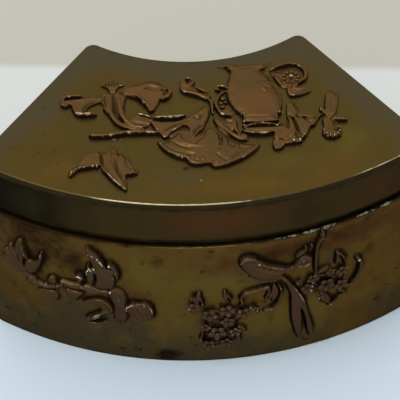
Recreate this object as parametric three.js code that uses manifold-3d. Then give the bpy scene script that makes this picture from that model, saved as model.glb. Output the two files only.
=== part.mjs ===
// Fan-shaped metal trinket box with a lift-off lid and applied bird-and-flower relief.
// Millimetres, +Z up, front toward -Y. The origin is on the underside, at the middle of the plan.
import * as THREE from 'three';
import { ParametricGeometry } from 'three/addons/geometries/ParametricGeometry.js';
import { mergeVertices } from 'three/addons/utils/BufferGeometryUtils.js';
import Module from 'manifold-3d';

const wasm = await Module();
wasm.setup();

// Plan of the box, seen from above: a sector of a ring round the fan centre
const outerRadius = 100;
const innerRadius = 48;
const halfAngle = THREE.MathUtils.degToRad(36);
const cornerRadius = 2.5;

// Heights and sheet thicknesses
const wallHeight = 46.5;
const wallThickness = 1.5;
const floorThickness = 1.5;
const collarThickness = 1.2;
const seamGap = 2.8;
const skirtHeight = 11.7;
const skirtThickness = 1.5;
const plateThickness = 2.2;
const plateEdgeRound = 0.6;
const plateOverhang = 0.25;
const floorClearance = 0.05;
const collarClearance = 0.3;

// The relief lies this far off the curved front wall
const frontReliefClearance = 0.15;

// Sizes of the box on which the relief's points are laid out; they spread as the box grows
const layoutRadius = 100;
const layoutWallHeight = 46.5;

// Straight steps in the round stretches of the plan and of the relief
const frontSteps = 36;
const backSteps = 20;
const cornerSteps = 4;
const sectionSteps = 6;
const plateEdgeSteps = 2;
const slabStepsPerPoint = 2;
const slabEdgeSteps = 2;

// Relief heights
const leafHeight = 1.3;
const petalHeight = 1.5;
const stemHeight = 1.1;
const jarHeight = 2.4;
const birdHeight = 2.2;
const beadRise = 0.9;
const ridgeRise = 0.3;
const slabEdge = 0.35;
const jarEdge = 1.1;

const fanCentreY = (outerRadius + innerRadius * Math.cos(halfAngle)) / 2;
const skirtBottom = wallHeight + seamGap;
const plateBottom = skirtBottom + skirtHeight;
const plateTop = plateBottom + plateThickness;

const darkBronze = { color: 0x3a3019, roughness: 0.5 };
const oliveBrass = { color: 0x5c4a20, roughness: 0.45 };
const copperRelief = { color: 0x6b4a2c, roughness: 0.45 };
const brownRelief = { color: 0x4a3626, roughness: 0.5 };

const box = new THREE.Group();

// Adds one piece to the box, with a metal of its own
function addPiece(name, geometry, look) {
  const material = new THREE.MeshStandardMaterial({ ...look, metalness: 0.9 });
  const mesh = new THREE.Mesh(geometry, material);
  mesh.name = name;
  box.add(mesh);
}

// Points of an arc, both ends included
function arcPoints(centre, radius, from, to, steps) {
  const points = [];
  for (let i = 0; i <= steps; i += 1) {
    const angle = from + ((to - from) * i) / steps;
    const arm = new THREE.Vector2(Math.cos(angle), Math.sin(angle)).multiplyScalar(radius);
    points.push(arm.add(centre));
  }
  return points;
}

// The plan outline, moved inward by inset, with its four corners rounded
function fanOutline(inset) {
  const fanCentre = new THREE.Vector2(0, fanCentreY);
  const outer = outerRadius - inset;
  const inner = innerRadius + inset;
  const round = Math.max(cornerRadius - inset, cornerRadius / 5);
  const front = -Math.PI / 2;
  const side = front + halfAngle;
  const alongSide = new THREE.Vector2(Math.cos(side), Math.sin(side));
  const intoBox = new THREE.Vector2(Math.sin(side), -Math.cos(side));
  const offset = inset + round;
  const cornerAt = (radius) => new THREE.Vector2()
    .addScaledVector(alongSide, Math.sqrt(radius * radius - offset * offset))
    .addScaledVector(intoBox, offset);
  const frontCorner = cornerAt(outer - round);
  const backCorner = cornerAt(inner + round);
  const sideNormal = side + Math.PI / 2;
  const frontCentre = frontCorner.clone().add(fanCentre);
  const backCentre = backCorner.clone().add(fanCentre);
  const rightHalf = [
    ...arcPoints(fanCentre, outer, front, frontCorner.angle() - 2 * Math.PI, frontSteps / 2),
    ...arcPoints(frontCentre, round, frontCorner.angle() - 2 * Math.PI, sideNormal, cornerSteps).slice(1),
    ...arcPoints(backCentre, round, sideNormal, backCorner.angle() - Math.PI, cornerSteps),
    ...arcPoints(fanCentre, inner, backCorner.angle() - 2 * Math.PI, front, backSteps / 2).slice(1),
  ];
  const leftHalf = rightHalf.slice(1, -1).reverse();
  return [...rightHalf, ...leftHalf.map((p) => new THREE.Vector2(-p.x, p.y))];
}

// A closed upright band between two insets of the plan
function band(outerInset, thickness, bottom, height) {
  const shape = new THREE.Shape(fanOutline(outerInset));
  shape.holes.push(new THREE.Path(fanOutline(outerInset + thickness)));
  const geometry = new THREE.ExtrudeGeometry(shape, { depth: height, bevelEnabled: false });
  return geometry.translate(0, 0, bottom);
}

function baseFloor() {
  const shape = new THREE.Shape(fanOutline(wallThickness + floorClearance));
  return new THREE.ExtrudeGeometry(shape, { depth: floorThickness, bevelEnabled: false });
}

function lidPlate() {
  const shape = new THREE.Shape(fanOutline(plateEdgeRound - plateOverhang));
  const geometry = new THREE.ExtrudeGeometry(shape, {
    depth: plateThickness - 2 * plateEdgeRound,
    bevelThickness: plateEdgeRound,
    bevelSize: plateEdgeRound,
    bevelSegments: plateEdgeSteps,
  });
  return geometry.translate(0, 0, plateBottom + plateEdgeRound);
}

// Relief coordinates to the box: flat on the lid, wrapped round the front wall.
// On the wall, x is the length along the front arc from its middle and y is the height.
function onLid(x, y, rise) {
  const spread = outerRadius / layoutRadius;
  return new THREE.Vector3(x * spread, y * spread, plateTop + rise);
}

function onFront(x, y, rise) {
  const radius = outerRadius + frontReliefClearance + rise;
  const angle = x / layoutRadius;
  const height = (y * wallHeight) / layoutWallHeight;
  return new THREE.Vector3(radius * Math.sin(angle), fanCentreY - radius * Math.cos(angle), height);
}

// Welds a closed geometry and turns it into a solid with its faces pointing out
function solidOf(geometry) {
  geometry.deleteAttribute('uv');
  geometry.deleteAttribute('normal');
  const welded = mergeVertices(geometry, 1e-4);
  const position = welded.getAttribute('position');
  const index = welded.getIndex();
  const corners = [0, 1, 2].map(() => new THREE.Vector3());
  const triangles = [];
  let volume = 0;
  for (let i = 0; i < index.count; i += 3) {
    const [a, b, c] = [index.getX(i), index.getX(i + 1), index.getX(i + 2)];
    if (a !== b && b !== c && c !== a) {
      triangles.push([a, b, c]);
      [a, b, c].forEach((k, n) => corners[n].fromBufferAttribute(position, k));
      volume += corners[0].dot(corners[1].clone().cross(corners[2]));
    }
  }
  const triVerts = triangles.flatMap(([a, b, c]) => (volume > 0 ? [a, b, c] : [a, c, b]));
  return new wasm.Manifold(new wasm.Mesh({
    numProp: 3,
    vertProperties: new Float32Array(position.array),
    triVerts: new Uint32Array(triVerts),
  }));
}

function geometryOf(solid) {
  const mesh = solid.getMesh();
  const geometry = new THREE.BufferGeometry();
  geometry.setAttribute('position', new THREE.BufferAttribute(mesh.vertProperties, 3));
  geometry.setIndex(new THREE.BufferAttribute(mesh.triVerts, 1));
  geometry.computeVertexNormals();
  return geometry;
}

// A long raised form that follows a spine, with a rounded back and both ends drawn to a point.
// Ends near 0 keeps it full to the tips, 1 tapers it all the way; widest shifts the fullest place.
function lobe(place, spine, halfWidth, height, options = {}) {
  const { ends = 0.5, widest = 0.5, rings = 6, groove = 0 } = options;
  const curve = new THREE.SplineCurve(spine.map(([x, y]) => new THREE.Vector2(x, y)));
  const lean = Math.log(0.5) / Math.log(widest);
  const surface = (u, v, target) => {
    const t = (1 - Math.cos(Math.PI * u)) / 2;
    const s = t ** lean;
    const fullness = Math.max(4 * s * (1 - s), 0) ** ends;
    const turn = (Math.PI * Math.round(v * (sectionSteps + 1))) / sectionSteps;
    const across = turn > Math.PI + 0.01 ? 0 : turn;
    const dip = 1 - groove * Math.sin(across) ** 8;
    const centre = curve.getPoint(t);
    const tangent = curve.getTangent(t);
    const reach = -Math.cos(across) * halfWidth * fullness;
    const rise = Math.sin(across) * height * Math.sqrt(fullness) * dip;
    target.copy(place(centre.x - tangent.y * reach, centre.y + tangent.x * reach, rise));
  };
  return solidOf(new ParametricGeometry(surface, rings, sectionSteps + 1));
}

// A small dome on the surface
function bead(place, x, y, radius, rise = beadRise) {
  return lobe(place, [[x - radius, y], [x + radius, y]], radius, rise, { rings: 4 });
}

// A flat ring on the surface, made of two arcs that run into each other
function ring(place, x, y, radiusX, radiusY, halfWidth, height) {
  const pointsPerArc = 6;
  const overrun = THREE.MathUtils.degToRad(15);
  const arc = (start) => Array.from({ length: pointsPerArc }, (_, i) => {
    const angle = start - overrun + ((Math.PI + 2 * overrun) * i) / (pointsPerArc - 1);
    return [x + radiusX * Math.cos(angle), y + radiusY * Math.sin(angle)];
  });
  const shape = { ends: 0.15, rings: 10 };
  return [
    lobe(place, arc(0), halfWidth, height, shape),
    lobe(place, arc(Math.PI), halfWidth, height, shape),
  ];
}

// Joins the forms of one casting
function casting(solids) {
  return geometryOf(solids.reduce((whole, solid) => whole.add(solid)));
}

// A loop moved inward by a distance, point for point; sharp corners are held back
function insetLoop(loop, distance) {
  const cornerReach = Math.SQRT2;
  return loop.map((point, i) => {
    const into = point.clone().sub(loop.at(i - 1)).normalize();
    const out = loop[(i + 1) % loop.length].clone().sub(point).normalize();
    const inward = new THREE.Vector2(-into.y - out.y, into.x + out.x).normalize();
    const reach = Math.min(1 / Math.max(Math.abs(inward.cross(into)), 0.01), cornerReach);
    return point.clone().addScaledVector(inward, reach * distance);
  });
}

// A flat form on the lid with a smooth outline and a rounded upper edge
function slab(outline, height, edge = slabEdge) {
  const curve = new THREE.CatmullRomCurve3(outline.map(([x, y]) => onLid(x, y, 0)), true);
  const spaced = curve.getPoints(outline.length * slabStepsPerPoint).slice(1);
  const loop = spaced.map((p) => new THREE.Vector2(p.x, p.y));
  if (THREE.ShapeUtils.isClockWise(loop)) loop.reverse();
  const turns = Array.from({ length: slabEdgeSteps + 1 }, (_, i) => (Math.PI * i) / slabEdgeSteps / 2);
  const rows = [[loop, 0], ...turns.map((turn) => [
    insetLoop(loop, edge * (1 - Math.cos(turn))),
    height - edge * (1 - Math.sin(turn)),
  ])];
  const count = loop.length;
  const top = (rows.length - 1) * count;
  const faces = wasm.triangulate([loop.map((p) => [p.x, p.y])])
    .flatMap(([a, b, c]) => [[c, b, a], [a + top, b + top, c + top]]);
  for (let i = 0; i < top; i += 1) {
    const next = i - (i % count) + ((i + 1) % count);
    faces.push([i, next, next + count], [i, next + count, i + count]);
  }
  const geometry = new THREE.BufferGeometry();
  geometry.setFromPoints(rows.flatMap(([row, rise]) => (
    row.map((p) => new THREE.Vector3(p.x, p.y, plateTop + rise)))));
  geometry.setIndex(faces.flat());
  return solidOf(geometry);
}

function lilyFlower() {
  const leftPetal = [
    [-24.5, 10.2], [-27.9, 9.8], [-31.5, 9.7], [-34.2, 9.4], [-36.3, 8.2], [-36, 6.3], [-33.9, 6.3],
    [-33.3, 4.1], [-32.6, 2], [-29.8, 1.4], [-27.3, 1.6], [-26.8, 3.4], [-27, 5.3], [-24.6, 6.1],
  ];
  const ribbon = [
    [-25.4, 9.8], [-23.3, 11.1], [-20.6, 11], [-18.9, 9.6], [-19.2, 6.1], [-20.1, 2], [-18.3, -1.2],
    [-14.5, -3.5], [-16, -4.3], [-19.8, -3.1], [-22.3, -1.2], [-23.9, 2], [-25.5, 5.1],
  ];
  const rightPetal = [
    [-19.9, 10.4], [-17.8, 13.1], [-13.8, 14.7], [-10.3, 14.1], [-8.1, 11.6], [-7.3, 9.4],
    [-8.3, 7.5], [-10, 7.1], [-11, 5.5], [-11.9, 3], [-13.4, 2.8], [-14.8, 5.5], [-16.9, 7.8],
    [-19.3, 9],
  ];
  const lowerPetal = [
    [-19.4, 8.6], [-16.5, 6.7], [-14.8, 4.5], [-13.2, 2.2], [-12.4, 0.3], [-13.3, -2],
    [-15.2, -2.8], [-17.7, -1.2], [-20.1, 2.2],
  ];
  const stamens = [-2.6, -1.4, 0, 1.3, 2.6].map((lean) => lobe(
    onLid,
    [[-22.7, 10.2], [-22.7 + lean * 0.6, 12.8], [-22.7 + lean * 1.3, 15.8 - Math.abs(lean) * 0.7]],
    0.5,
    stemHeight,
  ));
  return casting([
    slab(leftPetal, leafHeight),
    slab(lowerPetal, stemHeight),
    slab(ribbon, petalHeight),
    slab(rightPetal, leafHeight),
    ...stamens,
    lobe(onLid, [[-34.7, 7.6], [-33.1, 8.8], [-29, 9.2]], 0.7, petalHeight),
    lobe(onLid, [[-29.8, 3.2], [-29.1, 5.7], [-25.9, 7]], 0.7, petalHeight),
    lobe(
      onLid,
      [[-22.4, 10.6], [-21.9, 5.1], [-21.4, -0.1], [-17.3, -3.1]],
      1.1,
      petalHeight + ridgeRise,
    ),
    lobe(onLid, [[-18.9, 9.8], [-16, 8.6], [-14, 5.7], [-12.8, 3.2]], 0.7, petalHeight),
    lobe(onLid, [[-14.3, 11.9], [-11, 11.2], [-8.5, 10], [-8.7, 8.2]], 0.7, petalHeight + ridgeRise),
    lobe(onLid, [[-16.1, 1.6], [-13.4, 0], [-10.3, -0.4], [-6.5, -0.5]], 0.55, leafHeight),
  ]);
}

function lidTwig() {
  const twig = [[-28.8, -5.6], [-25.2, -5.8], [-20.9, -5.6], [-16.9, -6]];
  return casting([
    lobe(onLid, twig, 0.75, stemHeight, { ends: 0.2, rings: 10 }),
    bead(onLid, -27.7, -5.6, 1.1),
    bead(onLid, -18.4, -6, 0.9),
  ]);
}

function centreLeaves() {
  const leaves = [
    [-11.1, -1.9], [-6.1, -1.9], [-4.6, -1.4], [-2.1, 0.1], [-0.2, 2.6], [1.5, 4.4], [2.3, 2.6],
    [2.3, -0.1], [1.5, -2.2], [0.7, -4.5], [-0.6, -5.8], [-2.1, -7.7], [-2.6, -5.4], [-3.4, -3.5],
    [-4.8, -3.1], [-7.2, -5.4], [-9.5, -7.1], [-11, -5.2],
  ];
  return casting([
    slab(leaves, leafHeight),
    lobe(onLid, [[-9.1, -5.8], [-6.1, -2.8], [-2.5, -1]], 0.8, petalHeight),
    lobe(onLid, [[1.3, 3.6], [0.7, -0.8], [-1.7, -6.2]], 0.9, petalHeight),
  ]);
}

function bigLeaf() {
  const blade = [
    [-11.6, -7.9], [-9.7, -8.5], [-7.4, -6.5], [-5, -4.3], [-4, -5.4], [-3.2, -8.8], [-0.8, -7.5],
    [1.1, -5.8], [2.1, -3.7], [3.4, -4.3], [5.5, -6.6], [7.6, -9.2], [10.2, -10.7], [13, -10.5],
    [15.1, -10.7], [13.6, -13], [10.9, -15.4], [6.6, -17.8], [2.8, -18.4], [1.9, -16.9],
    [-1.3, -17.4], [-3.4, -16.7], [-4.5, -15], [-7.7, -13.3], [-10.4, -10.7],
  ];
  const lowerEdge = [
    [-10.4, -9.6], [-6.6, -12.6], [-1.9, -15.2], [3.9, -16.3], [9.4, -14.8], [13.6, -11.8],
  ];
  return casting([
    slab(blade, leafHeight),
    lobe(onLid, lowerEdge, 0.9, petalHeight, { rings: 12, ends: 0.3 }),
    lobe(onLid, [[-6.1, -6.9], [-3.6, -10], [0.9, -10.9]], 0.8, petalHeight),
    lobe(onLid, [[2.1, -4.7], [3.8, -8.3], [2.1, -12.4]], 0.9, petalHeight),
    bead(onLid, 0.4, -13.5, 1.5, petalHeight),
  ]);
}

function foldedLeaf() {
  const fold = [
    [3.5, -0.1], [5.9, -1.2], [8.4, -1.2], [9.6, -2.9], [9.4, -5.4], [10.8, -7.5], [12.5, -8.8],
    [10.4, -9.4], [8.1, -7.9], [5.9, -5.4], [4, -2.9],
  ];
  return casting([
    slab(fold, leafHeight),
    lobe(onLid, [[4.2, -1.2], [6.6, -5], [10.6, -8.6]], 0.7, petalHeight),
  ]);
}

function jar() {
  const body = [
    [9.1, 17.2], [8.2, 13.5], [7.5, 9.5], [7.7, 5.4], [9.2, 1.7], [11.1, -0.6], [11.1, -2.5],
    [12.8, -3.3], [19.1, -3.3], [20.6, -2.5], [20.5, -0.6], [21.7, 2.3], [21.9, 6.4], [21.1, 10.5],
    [19.2, 14.3], [17.5, 17.1],
  ];
  const lip = [
    [5.2, 18.8], [7.4, 18], [9.1, 16.2], [13.2, 16.4], [17.3, 16.3], [18.5, 17.7], [20.3, 19.5],
    [18.1, 19.4], [13.1, 19.1], [8, 19.5],
  ];
  const bellyMotif = [[17.2, 9.9], [18.9, 9.7], [18.3, 8], [17.6, 11.3]];
  return casting([
    slab(body, jarHeight, jarEdge),
    slab(lip, jarHeight),
    lobe(onLid, [[5.4, 9.7], [8.9, 9.3]], 0.9, stemHeight),
    bead(onLid, 5.2, 9.9, 1.2),
    ...ring(onLid, 5.9, 5, 1.4, 2.8, 0.5, stemHeight),
    ...bellyMotif.map(([x, y]) => bead(onLid, x, y, 0.8, jarHeight + ridgeRise)),
  ]);
}

function jarFoot() {
  return casting(ring(onLid, 15.9, -5.6, 4.8, 1.5, 0.5, stemHeight));
}

function rosette() {
  const [centreX, centreY] = [24.8, 13.2];
  const slitLeaf = [
    [23.5, 10], [25.8, 9.5], [29.7, 8.7], [29.3, 7.5], [26.9, 6.3], [24.2, 6.1], [23.5, 7.9],
  ];
  const petals = [];
  for (let i = 0; i < 6; i += 1) {
    const angle = (Math.PI * i) / 3;
    petals.push(bead(onLid, centreX + 2.1 * Math.cos(angle), centreY + 2.1 * Math.sin(angle), 1.15));
  }
  return casting([
    bead(onLid, centreX, centreY, 1.5, petalHeight),
    ...petals,
    lobe(onLid, [[20.6, 16.8], [22.9, 18], [25.9, 18.4], [27.8, 16.8]], 0.6, stemHeight, { ends: 0.3 }),
    lobe(onLid, [[26.8, 17.8], [28.9, 15.4], [28.6, 12.8], [26.5, 11]], 0.6, stemHeight, { ends: 0.3 }),
    lobe(onLid, [[25.5, 11.6], [25.7, 10.2], [25.6, 8.5]], 0.9, stemHeight),
    slab(slitLeaf, stemHeight),
  ]);
}

function rightLeaves() {
  const upperLeaf = [[22.8, -1.2], [23, 3.4], [24.6, 4.4], [25.9, 2.6], [25.8, 0.3], [24.6, -1.8]];
  const toothedLeaf = [
    [24.8, -1], [26.9, -1.4], [29, -1], [30.5, -1.6], [30.5, -3.3], [29.7, -5], [28.7, -5.4],
    [28.1, -6.9], [26.9, -9.2], [25.6, -9.2], [24.5, -5.8], [24.2, -3.3],
  ];
  const lowerLeaf = [
    [22.6, -1], [23.9, -1], [25.1, -3.3], [25.3, -6.4], [26, -9.2], [26.1, -10.7], [23.6, -11.3],
    [21.5, -11.5], [20.6, -12.8], [18.7, -13], [18.3, -10.9], [18.9, -8.8], [21.2, -8.1],
    [22.8, -6.4], [23, -3.3],
  ];
  return casting([
    slab(upperLeaf, stemHeight),
    slab(toothedLeaf, leafHeight),
    slab(lowerLeaf, stemHeight),
    lobe(onLid, [[23.8, -1.6], [24.7, -5.4], [21.4, -10.3]], 0.8, petalHeight),
    lobe(onLid, [[18.9, -12.4], [21.9, -10.9], [25.7, -10.3]], 0.6, petalHeight),
  ]);
}

function rightFlower() {
  const tallPetal = [
    [32.8, -2], [32.9, 3], [33.5, 6.5], [35.1, 8.1], [36.6, 7.3], [36.9, 5], [36.4, 2.3], [36, 0.1],
    [35.1, -2],
  ];
  const lowerPetal = [
    [32.5, -1.4], [35.3, -1.4], [35.7, -3.3], [36.1, -5.8], [36.7, -7.3], [36.4, -9], [34.5, -10],
    [32.4, -9.6], [31.4, -7.9], [31.9, -5.4], [31.8, -3.1],
  ];
  const rim = [[32.3, -7.9], [33, -9.1], [34.5, -9.4], [35.7, -8.6], [36, -7.1]];
  return casting([
    slab(tallPetal, petalHeight),
    slab(lowerPetal, leafHeight),
    lobe(onLid, [[34.5, -3.1], [36.4, -3.1], [38.5, -3.5]], 0.8, leafHeight),
    lobe(onLid, [[33.4, -1.6], [32.3, 0.1], [31.6, 1.9]], 0.7, leafHeight),
    ...rim.map(([x, y]) => bead(onLid, x, y, 0.6, petalHeight)),
  ]);
}

function scroll() {
  const leaf = [
    [-4.7, 10.2], [-4.8, 12.2], [-3.9, 14.1], [-2, 14.8], [-0.7, 13.7], [-0.7, 11.6], [1.1, 9.8],
    [2.7, 9], [3.3, 7.3], [2.3, 6.1], [0.9, 6.7], [-1.8, 8.1], [-3.9, 9],
  ];
  return casting([
    slab(leaf, stemHeight),
    bead(onLid, -2.7, 12.9, 1.4, petalHeight),
    lobe(onLid, [[-4.1, 10], [-1.4, 8.6], [2.3, 6.9]], 0.6, leafHeight),
    lobe(onLid, [[1.7, 7.1], [3.1, 4.9], [3.2, 1.7]], 0.5, stemHeight),
  ]);
}

function smallBird() {
  const leftWing = [
    [-34.4, -19.3], [-34.4, -16.7], [-32.5, -15.2], [-30.7, -13.1], [-28.1, -11.8], [-26.4, -10.3],
    [-24.9, -11.5], [-25.4, -14.3], [-26.5, -15.9], [-29.3, -15.7], [-31.5, -16.6], [-33, -18.2],
  ];
  const body = [
    [-25.8, -11.3], [-23.6, -10.7], [-22.7, -8.8], [-21.9, -10.9], [-20.4, -12.4], [-19.6, -15],
    [-19.9, -18.2], [-19.6, -21.5], [-19.9, -25], [-21.6, -23.7], [-24.1, -20.6], [-26.1, -17.6],
    [-26.4, -13.9],
  ];
  const rightWing = [
    [-21.5, -11.5], [-18.5, -13.5], [-17.1, -16.1], [-16.7, -18.9], [-17.8, -19.6], [-20.8, -19.1],
  ];
  return casting([
    slab(leftWing, stemHeight),
    slab(rightWing, stemHeight),
    slab(body, leafHeight),
    lobe(
      onLid,
      [[-23.2, -10.7], [-23.3, -16.1], [-20.5, -23.7]],
      1,
      petalHeight + ridgeRise,
      { widest: 0.4 },
    ),
    lobe(onLid, [[-21, -19.3], [-18.9, -19.2], [-17.4, -18.7]], 0.5, petalHeight),
  ]);
}

function leftSpray() {
  return casting([
    lobe(onFront, [[-48.5, 25.1], [-51.3, 31], [-51.3, 38.9]], 2.1, leafHeight, { groove: 0.3 }),
    lobe(onFront, [[-48.9, 26], [-53.1, 29.8], [-54.7, 35.7]], 1.6, leafHeight),
    lobe(onFront, [[-48.5, 25.9], [-46.4, 30.8], [-44.8, 37.2]], 1.5, leafHeight),
    lobe(onFront, [[-48.5, 25.9], [-52.4, 26.6], [-55.7, 28.5]], 1.4, leafHeight),
    lobe(
      onFront,
      [[-50.5, 26.7], [-45.5, 24.8], [-41.7, 25.4], [-38.7, 27.3]],
      0.9,
      stemHeight,
      { ends: 0.2 },
    ),
    bead(onFront, -47.8, 24, 1.5),
    bead(onFront, -44.7, 23.5, 1.3),
  ]);
}

function budFlower() {
  const calyx = [[-37.1, 27.3], [-31.9, 27], [-26.3, 27.6], [-22.8, 30]];
  return casting([
    lobe(
      onFront,
      [[-31.9, 44.4], [-29.4, 39.9], [-27.5, 34.2]],
      3.1,
      petalHeight,
      { groove: 0.15, ends: 0.4 },
    ),
    lobe(onFront, [[-25.5, 39.5], [-24, 35.1], [-24.8, 28.9]], 1.8, petalHeight),
    lobe(onFront, [[-34.7, 33.3], [-34.3, 30.9], [-33.1, 27.4]], 2, petalHeight, { ends: 0.35 }),
    lobe(onFront, [[-30.6, 36.9], [-31.4, 32.3], [-30.2, 27.7]], 1.9, petalHeight, { ends: 0.35 }),
    lobe(
      onFront,
      [[-27.4, 37], [-27.2, 32.3], [-27.6, 27.6]],
      2.6,
      petalHeight + ridgeRise,
      { ends: 0.35 },
    ),
    lobe(onFront, calyx, 1.2, leafHeight),
  ]);
}

function curledLeaf() {
  const hook = [
    [-39.2, 22.8], [-35.7, 24.5], [-30.4, 24.4], [-26.3, 22.6], [-26.2, 19.3], [-29.4, 16.2],
    [-33.1, 14.2],
  ];
  return casting([
    lobe(onFront, hook, 1.5, leafHeight, { rings: 14, groove: 0.3 }),
    lobe(onFront, [[-38.6, 23.5], [-36.5, 20.9], [-31.7, 22.7]], 0.9, stemHeight),
    lobe(onFront, [[-29.1, 23.6], [-28.4, 21.6], [-27, 19.9]], 1.1, petalHeight),
  ]);
}

function hookLeaf() {
  const rimCurve = [
    [-22.1, 22.7], [-19.8, 24], [-17.2, 24.3], [-14.9, 22.5], [-14.8, 19.2], [-17.6, 17.6],
  ];
  return casting([
    lobe(onFront, rimCurve, 1.1, petalHeight, { rings: 12 }),
    lobe(onFront, [[-20.5, 23.1], [-18.1, 20.8], [-17, 17.9]], 2.4, leafHeight),
    lobe(onFront, [[-21.8, 23.3], [-22.8, 18.9], [-22.4, 14.4]], 1.1, stemHeight),
  ]);
}

function birdBody() {
  const spine = [[7.1, 40.9], [11.6, 38.6], [16.6, 35.3], [21.2, 32.7]];
  return casting([
    lobe(onFront, spine, 4.3, birdHeight, { ends: 0.4, widest: 0.35, rings: 11 }),
    lobe(onFront, [[14.6, 37], [19.3, 36.3], [25.2, 37.7]], 1.9, birdHeight, { ends: 0.35 }),
    bead(onFront, 24.7, 37.7, 2.5, birdHeight),
    lobe(onFront, [[23.4, 38.3], [25.2, 41.2], [25.9, 44.1]], 1, stemHeight),
  ]);
}

function birdWing() {
  const loop = [[13.8, 30.5], [17, 29], [19.4, 26.3], [19.1, 23.1], [16.1, 19.9]];
  return casting([
    lobe(onFront, loop, 1.1, leafHeight, { rings: 12 }),
    lobe(onFront, [[16.6, 28.8], [16.2, 26], [16.9, 23.3]], 0.9, stemHeight),
    lobe(onFront, [[8.3, 26.3], [10.5, 28], [17.2, 28.9]], 0.7, leafHeight),
  ]);
}

function birdTail() {
  const feather = { rings: 12, ends: 0.35, widest: 0.6, groove: 0.2 };
  return casting([
    lobe(onFront, [[21.1, 30.8], [22.8, 25.7], [23.6, 17.5], [24.4, 5.5]], 1.7, leafHeight, feather),
    lobe(onFront, [[21.6, 30.8], [24.6, 24.9], [26.9, 15.8], [28.1, 4.7]], 1.7, petalHeight, feather),
  ]);
}

function leftBlossoms() {
  const blossoms = [
    [-4.3, 23.1], [-1.2, 21.3], [1.2, 23.1], [-1.2, 18], [1.8, 19.5], [-1.2, 14.5], [1.6, 14.9],
    [-0.2, 11.5], [2.2, 11.3], [0.9, 7.9], [4, 7.9], [5, 11.3], [4.6, 14.9], [7.2, 13.3], [7, 16.9],
    [4.6, 18.6], [4.4, 22], [7.2, 20.4], [7.3, 23.4], [9.6, 18.9], [9.9, 22.1], [12.5, 20.4],
  ];
  return casting([
    lobe(onFront, [[-4.1, 26.5], [-1.6, 20], [0.4, 12.7], [2.4, 7.7]], 1.5, leafHeight),
    lobe(onFront, [[4.6, 8.3], [5.2, 16.4], [4.8, 24.6]], 1.4, leafHeight),
    lobe(onFront, [[-2.6, 20], [3.4, 18.7], [12.5, 20.4]], 1.3, leafHeight),
    lobe(onFront, [[-4, 23.1], [-3.5, 27.4], [-2.5, 31.4]], 1.7, leafHeight, { groove: 0.3 }),
    lobe(onFront, [[5.4, 22.8], [5, 26.5], [4.2, 30.3]], 1.3, leafHeight, { groove: 0.3 }),
    ...blossoms.map(([x, y]) => bead(onFront, x, y, 1.7, petalHeight)),
  ]);
}

function rightBlossoms() {
  const blossoms = [
    [28.2, 29.4], [28.7, 26.4], [31.4, 28.7], [30.8, 25.7], [30.9, 23], [33.8, 26], [33.9, 22.5],
    [36.8, 28.4], [36.6, 24.9], [36, 20.9], [38.8, 26.5], [34.2, 29.1],
  ];
  return casting([
    lobe(onFront, [[28.3, 28.3], [31.6, 25.5], [34.4, 21.4], [36.6, 19.1]], 1.5, leafHeight),
    lobe(onFront, [[29.3, 26.8], [34.6, 26], [41.3, 25.3]], 1.4, leafHeight),
    lobe(onFront, [[35.1, 26.9], [36.1, 31.6], [35.4, 36.3]], 1.4, leafHeight, { groove: 0.3 }),
    lobe(
      onFront,
      [[39.8, 33.7], [42.2, 29.9], [41.7, 25.8], [39.5, 21.2]],
      1.4,
      leafHeight,
      { groove: 0.3 },
    ),
    lobe(onFront, [[31.3, 18.4], [34.5, 16.4], [37.7, 17.8]], 1.4, leafHeight, { groove: 0.3 }),
    lobe(onFront, [[34.5, 16.4], [35.5, 18.7], [35.7, 20.6]], 0.8, stemHeight),
    ...blossoms.map(([x, y]) => bead(onFront, x, y, 1.6, petalHeight)),
  ]);
}

function frontTwig() {
  const stem = [[30.9, 47.2], [30.1, 42.9], [29.3, 38.1], [29.5, 32.4]];
  return casting([
    lobe(onFront, stem, 0.9, stemHeight, { ends: 0.2, rings: 9 }),
    lobe(onFront, [[29.6, 40.4], [31, 42.5], [31.7, 45.1]], 0.6, stemHeight),
  ]);
}

const collarInset = wallThickness + collarClearance;
const collarHeight = plateBottom - floorThickness;

addPiece('base_floor', baseFloor(), darkBronze);
addPiece('base_wall', band(0, wallThickness, 0, wallHeight), oliveBrass);
addPiece('inner_collar', band(collarInset, collarThickness, floorThickness, collarHeight), darkBronze);
addPiece('lid_skirt', band(0, skirtThickness, skirtBottom, skirtHeight), darkBronze);
addPiece('lid_plate', lidPlate(), oliveBrass);

addPiece('lily_flower', lilyFlower(), copperRelief);
addPiece('lid_twig', lidTwig(), copperRelief);
addPiece('centre_leaves', centreLeaves(), copperRelief);
addPiece('big_leaf', bigLeaf(), copperRelief);
addPiece('folded_leaf', foldedLeaf(), copperRelief);
addPiece('jar', jar(), copperRelief);
addPiece('jar_foot', jarFoot(), copperRelief);
addPiece('rosette', rosette(), copperRelief);
addPiece('right_leaves', rightLeaves(), copperRelief);
addPiece('right_flower', rightFlower(), copperRelief);
addPiece('scroll', scroll(), copperRelief);
addPiece('small_bird', smallBird(), copperRelief);

addPiece('left_spray', leftSpray(), brownRelief);
addPiece('bud_flower', budFlower(), brownRelief);
addPiece('curled_leaf', curledLeaf(), brownRelief);
addPiece('hook_leaf', hookLeaf(), brownRelief);
addPiece('bird_body', birdBody(), brownRelief);
addPiece('bird_wing', birdWing(), brownRelief);
addPiece('bird_tail', birdTail(), brownRelief);
addPiece('left_blossoms', leftBlossoms(), brownRelief);
addPiece('right_blossoms', rightBlossoms(), brownRelief);
addPiece('front_twig', frontTwig(), brownRelief);

export default box;
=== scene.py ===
import math

import bpy
import numpy as np
from mathutils import Matrix, Vector


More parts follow.
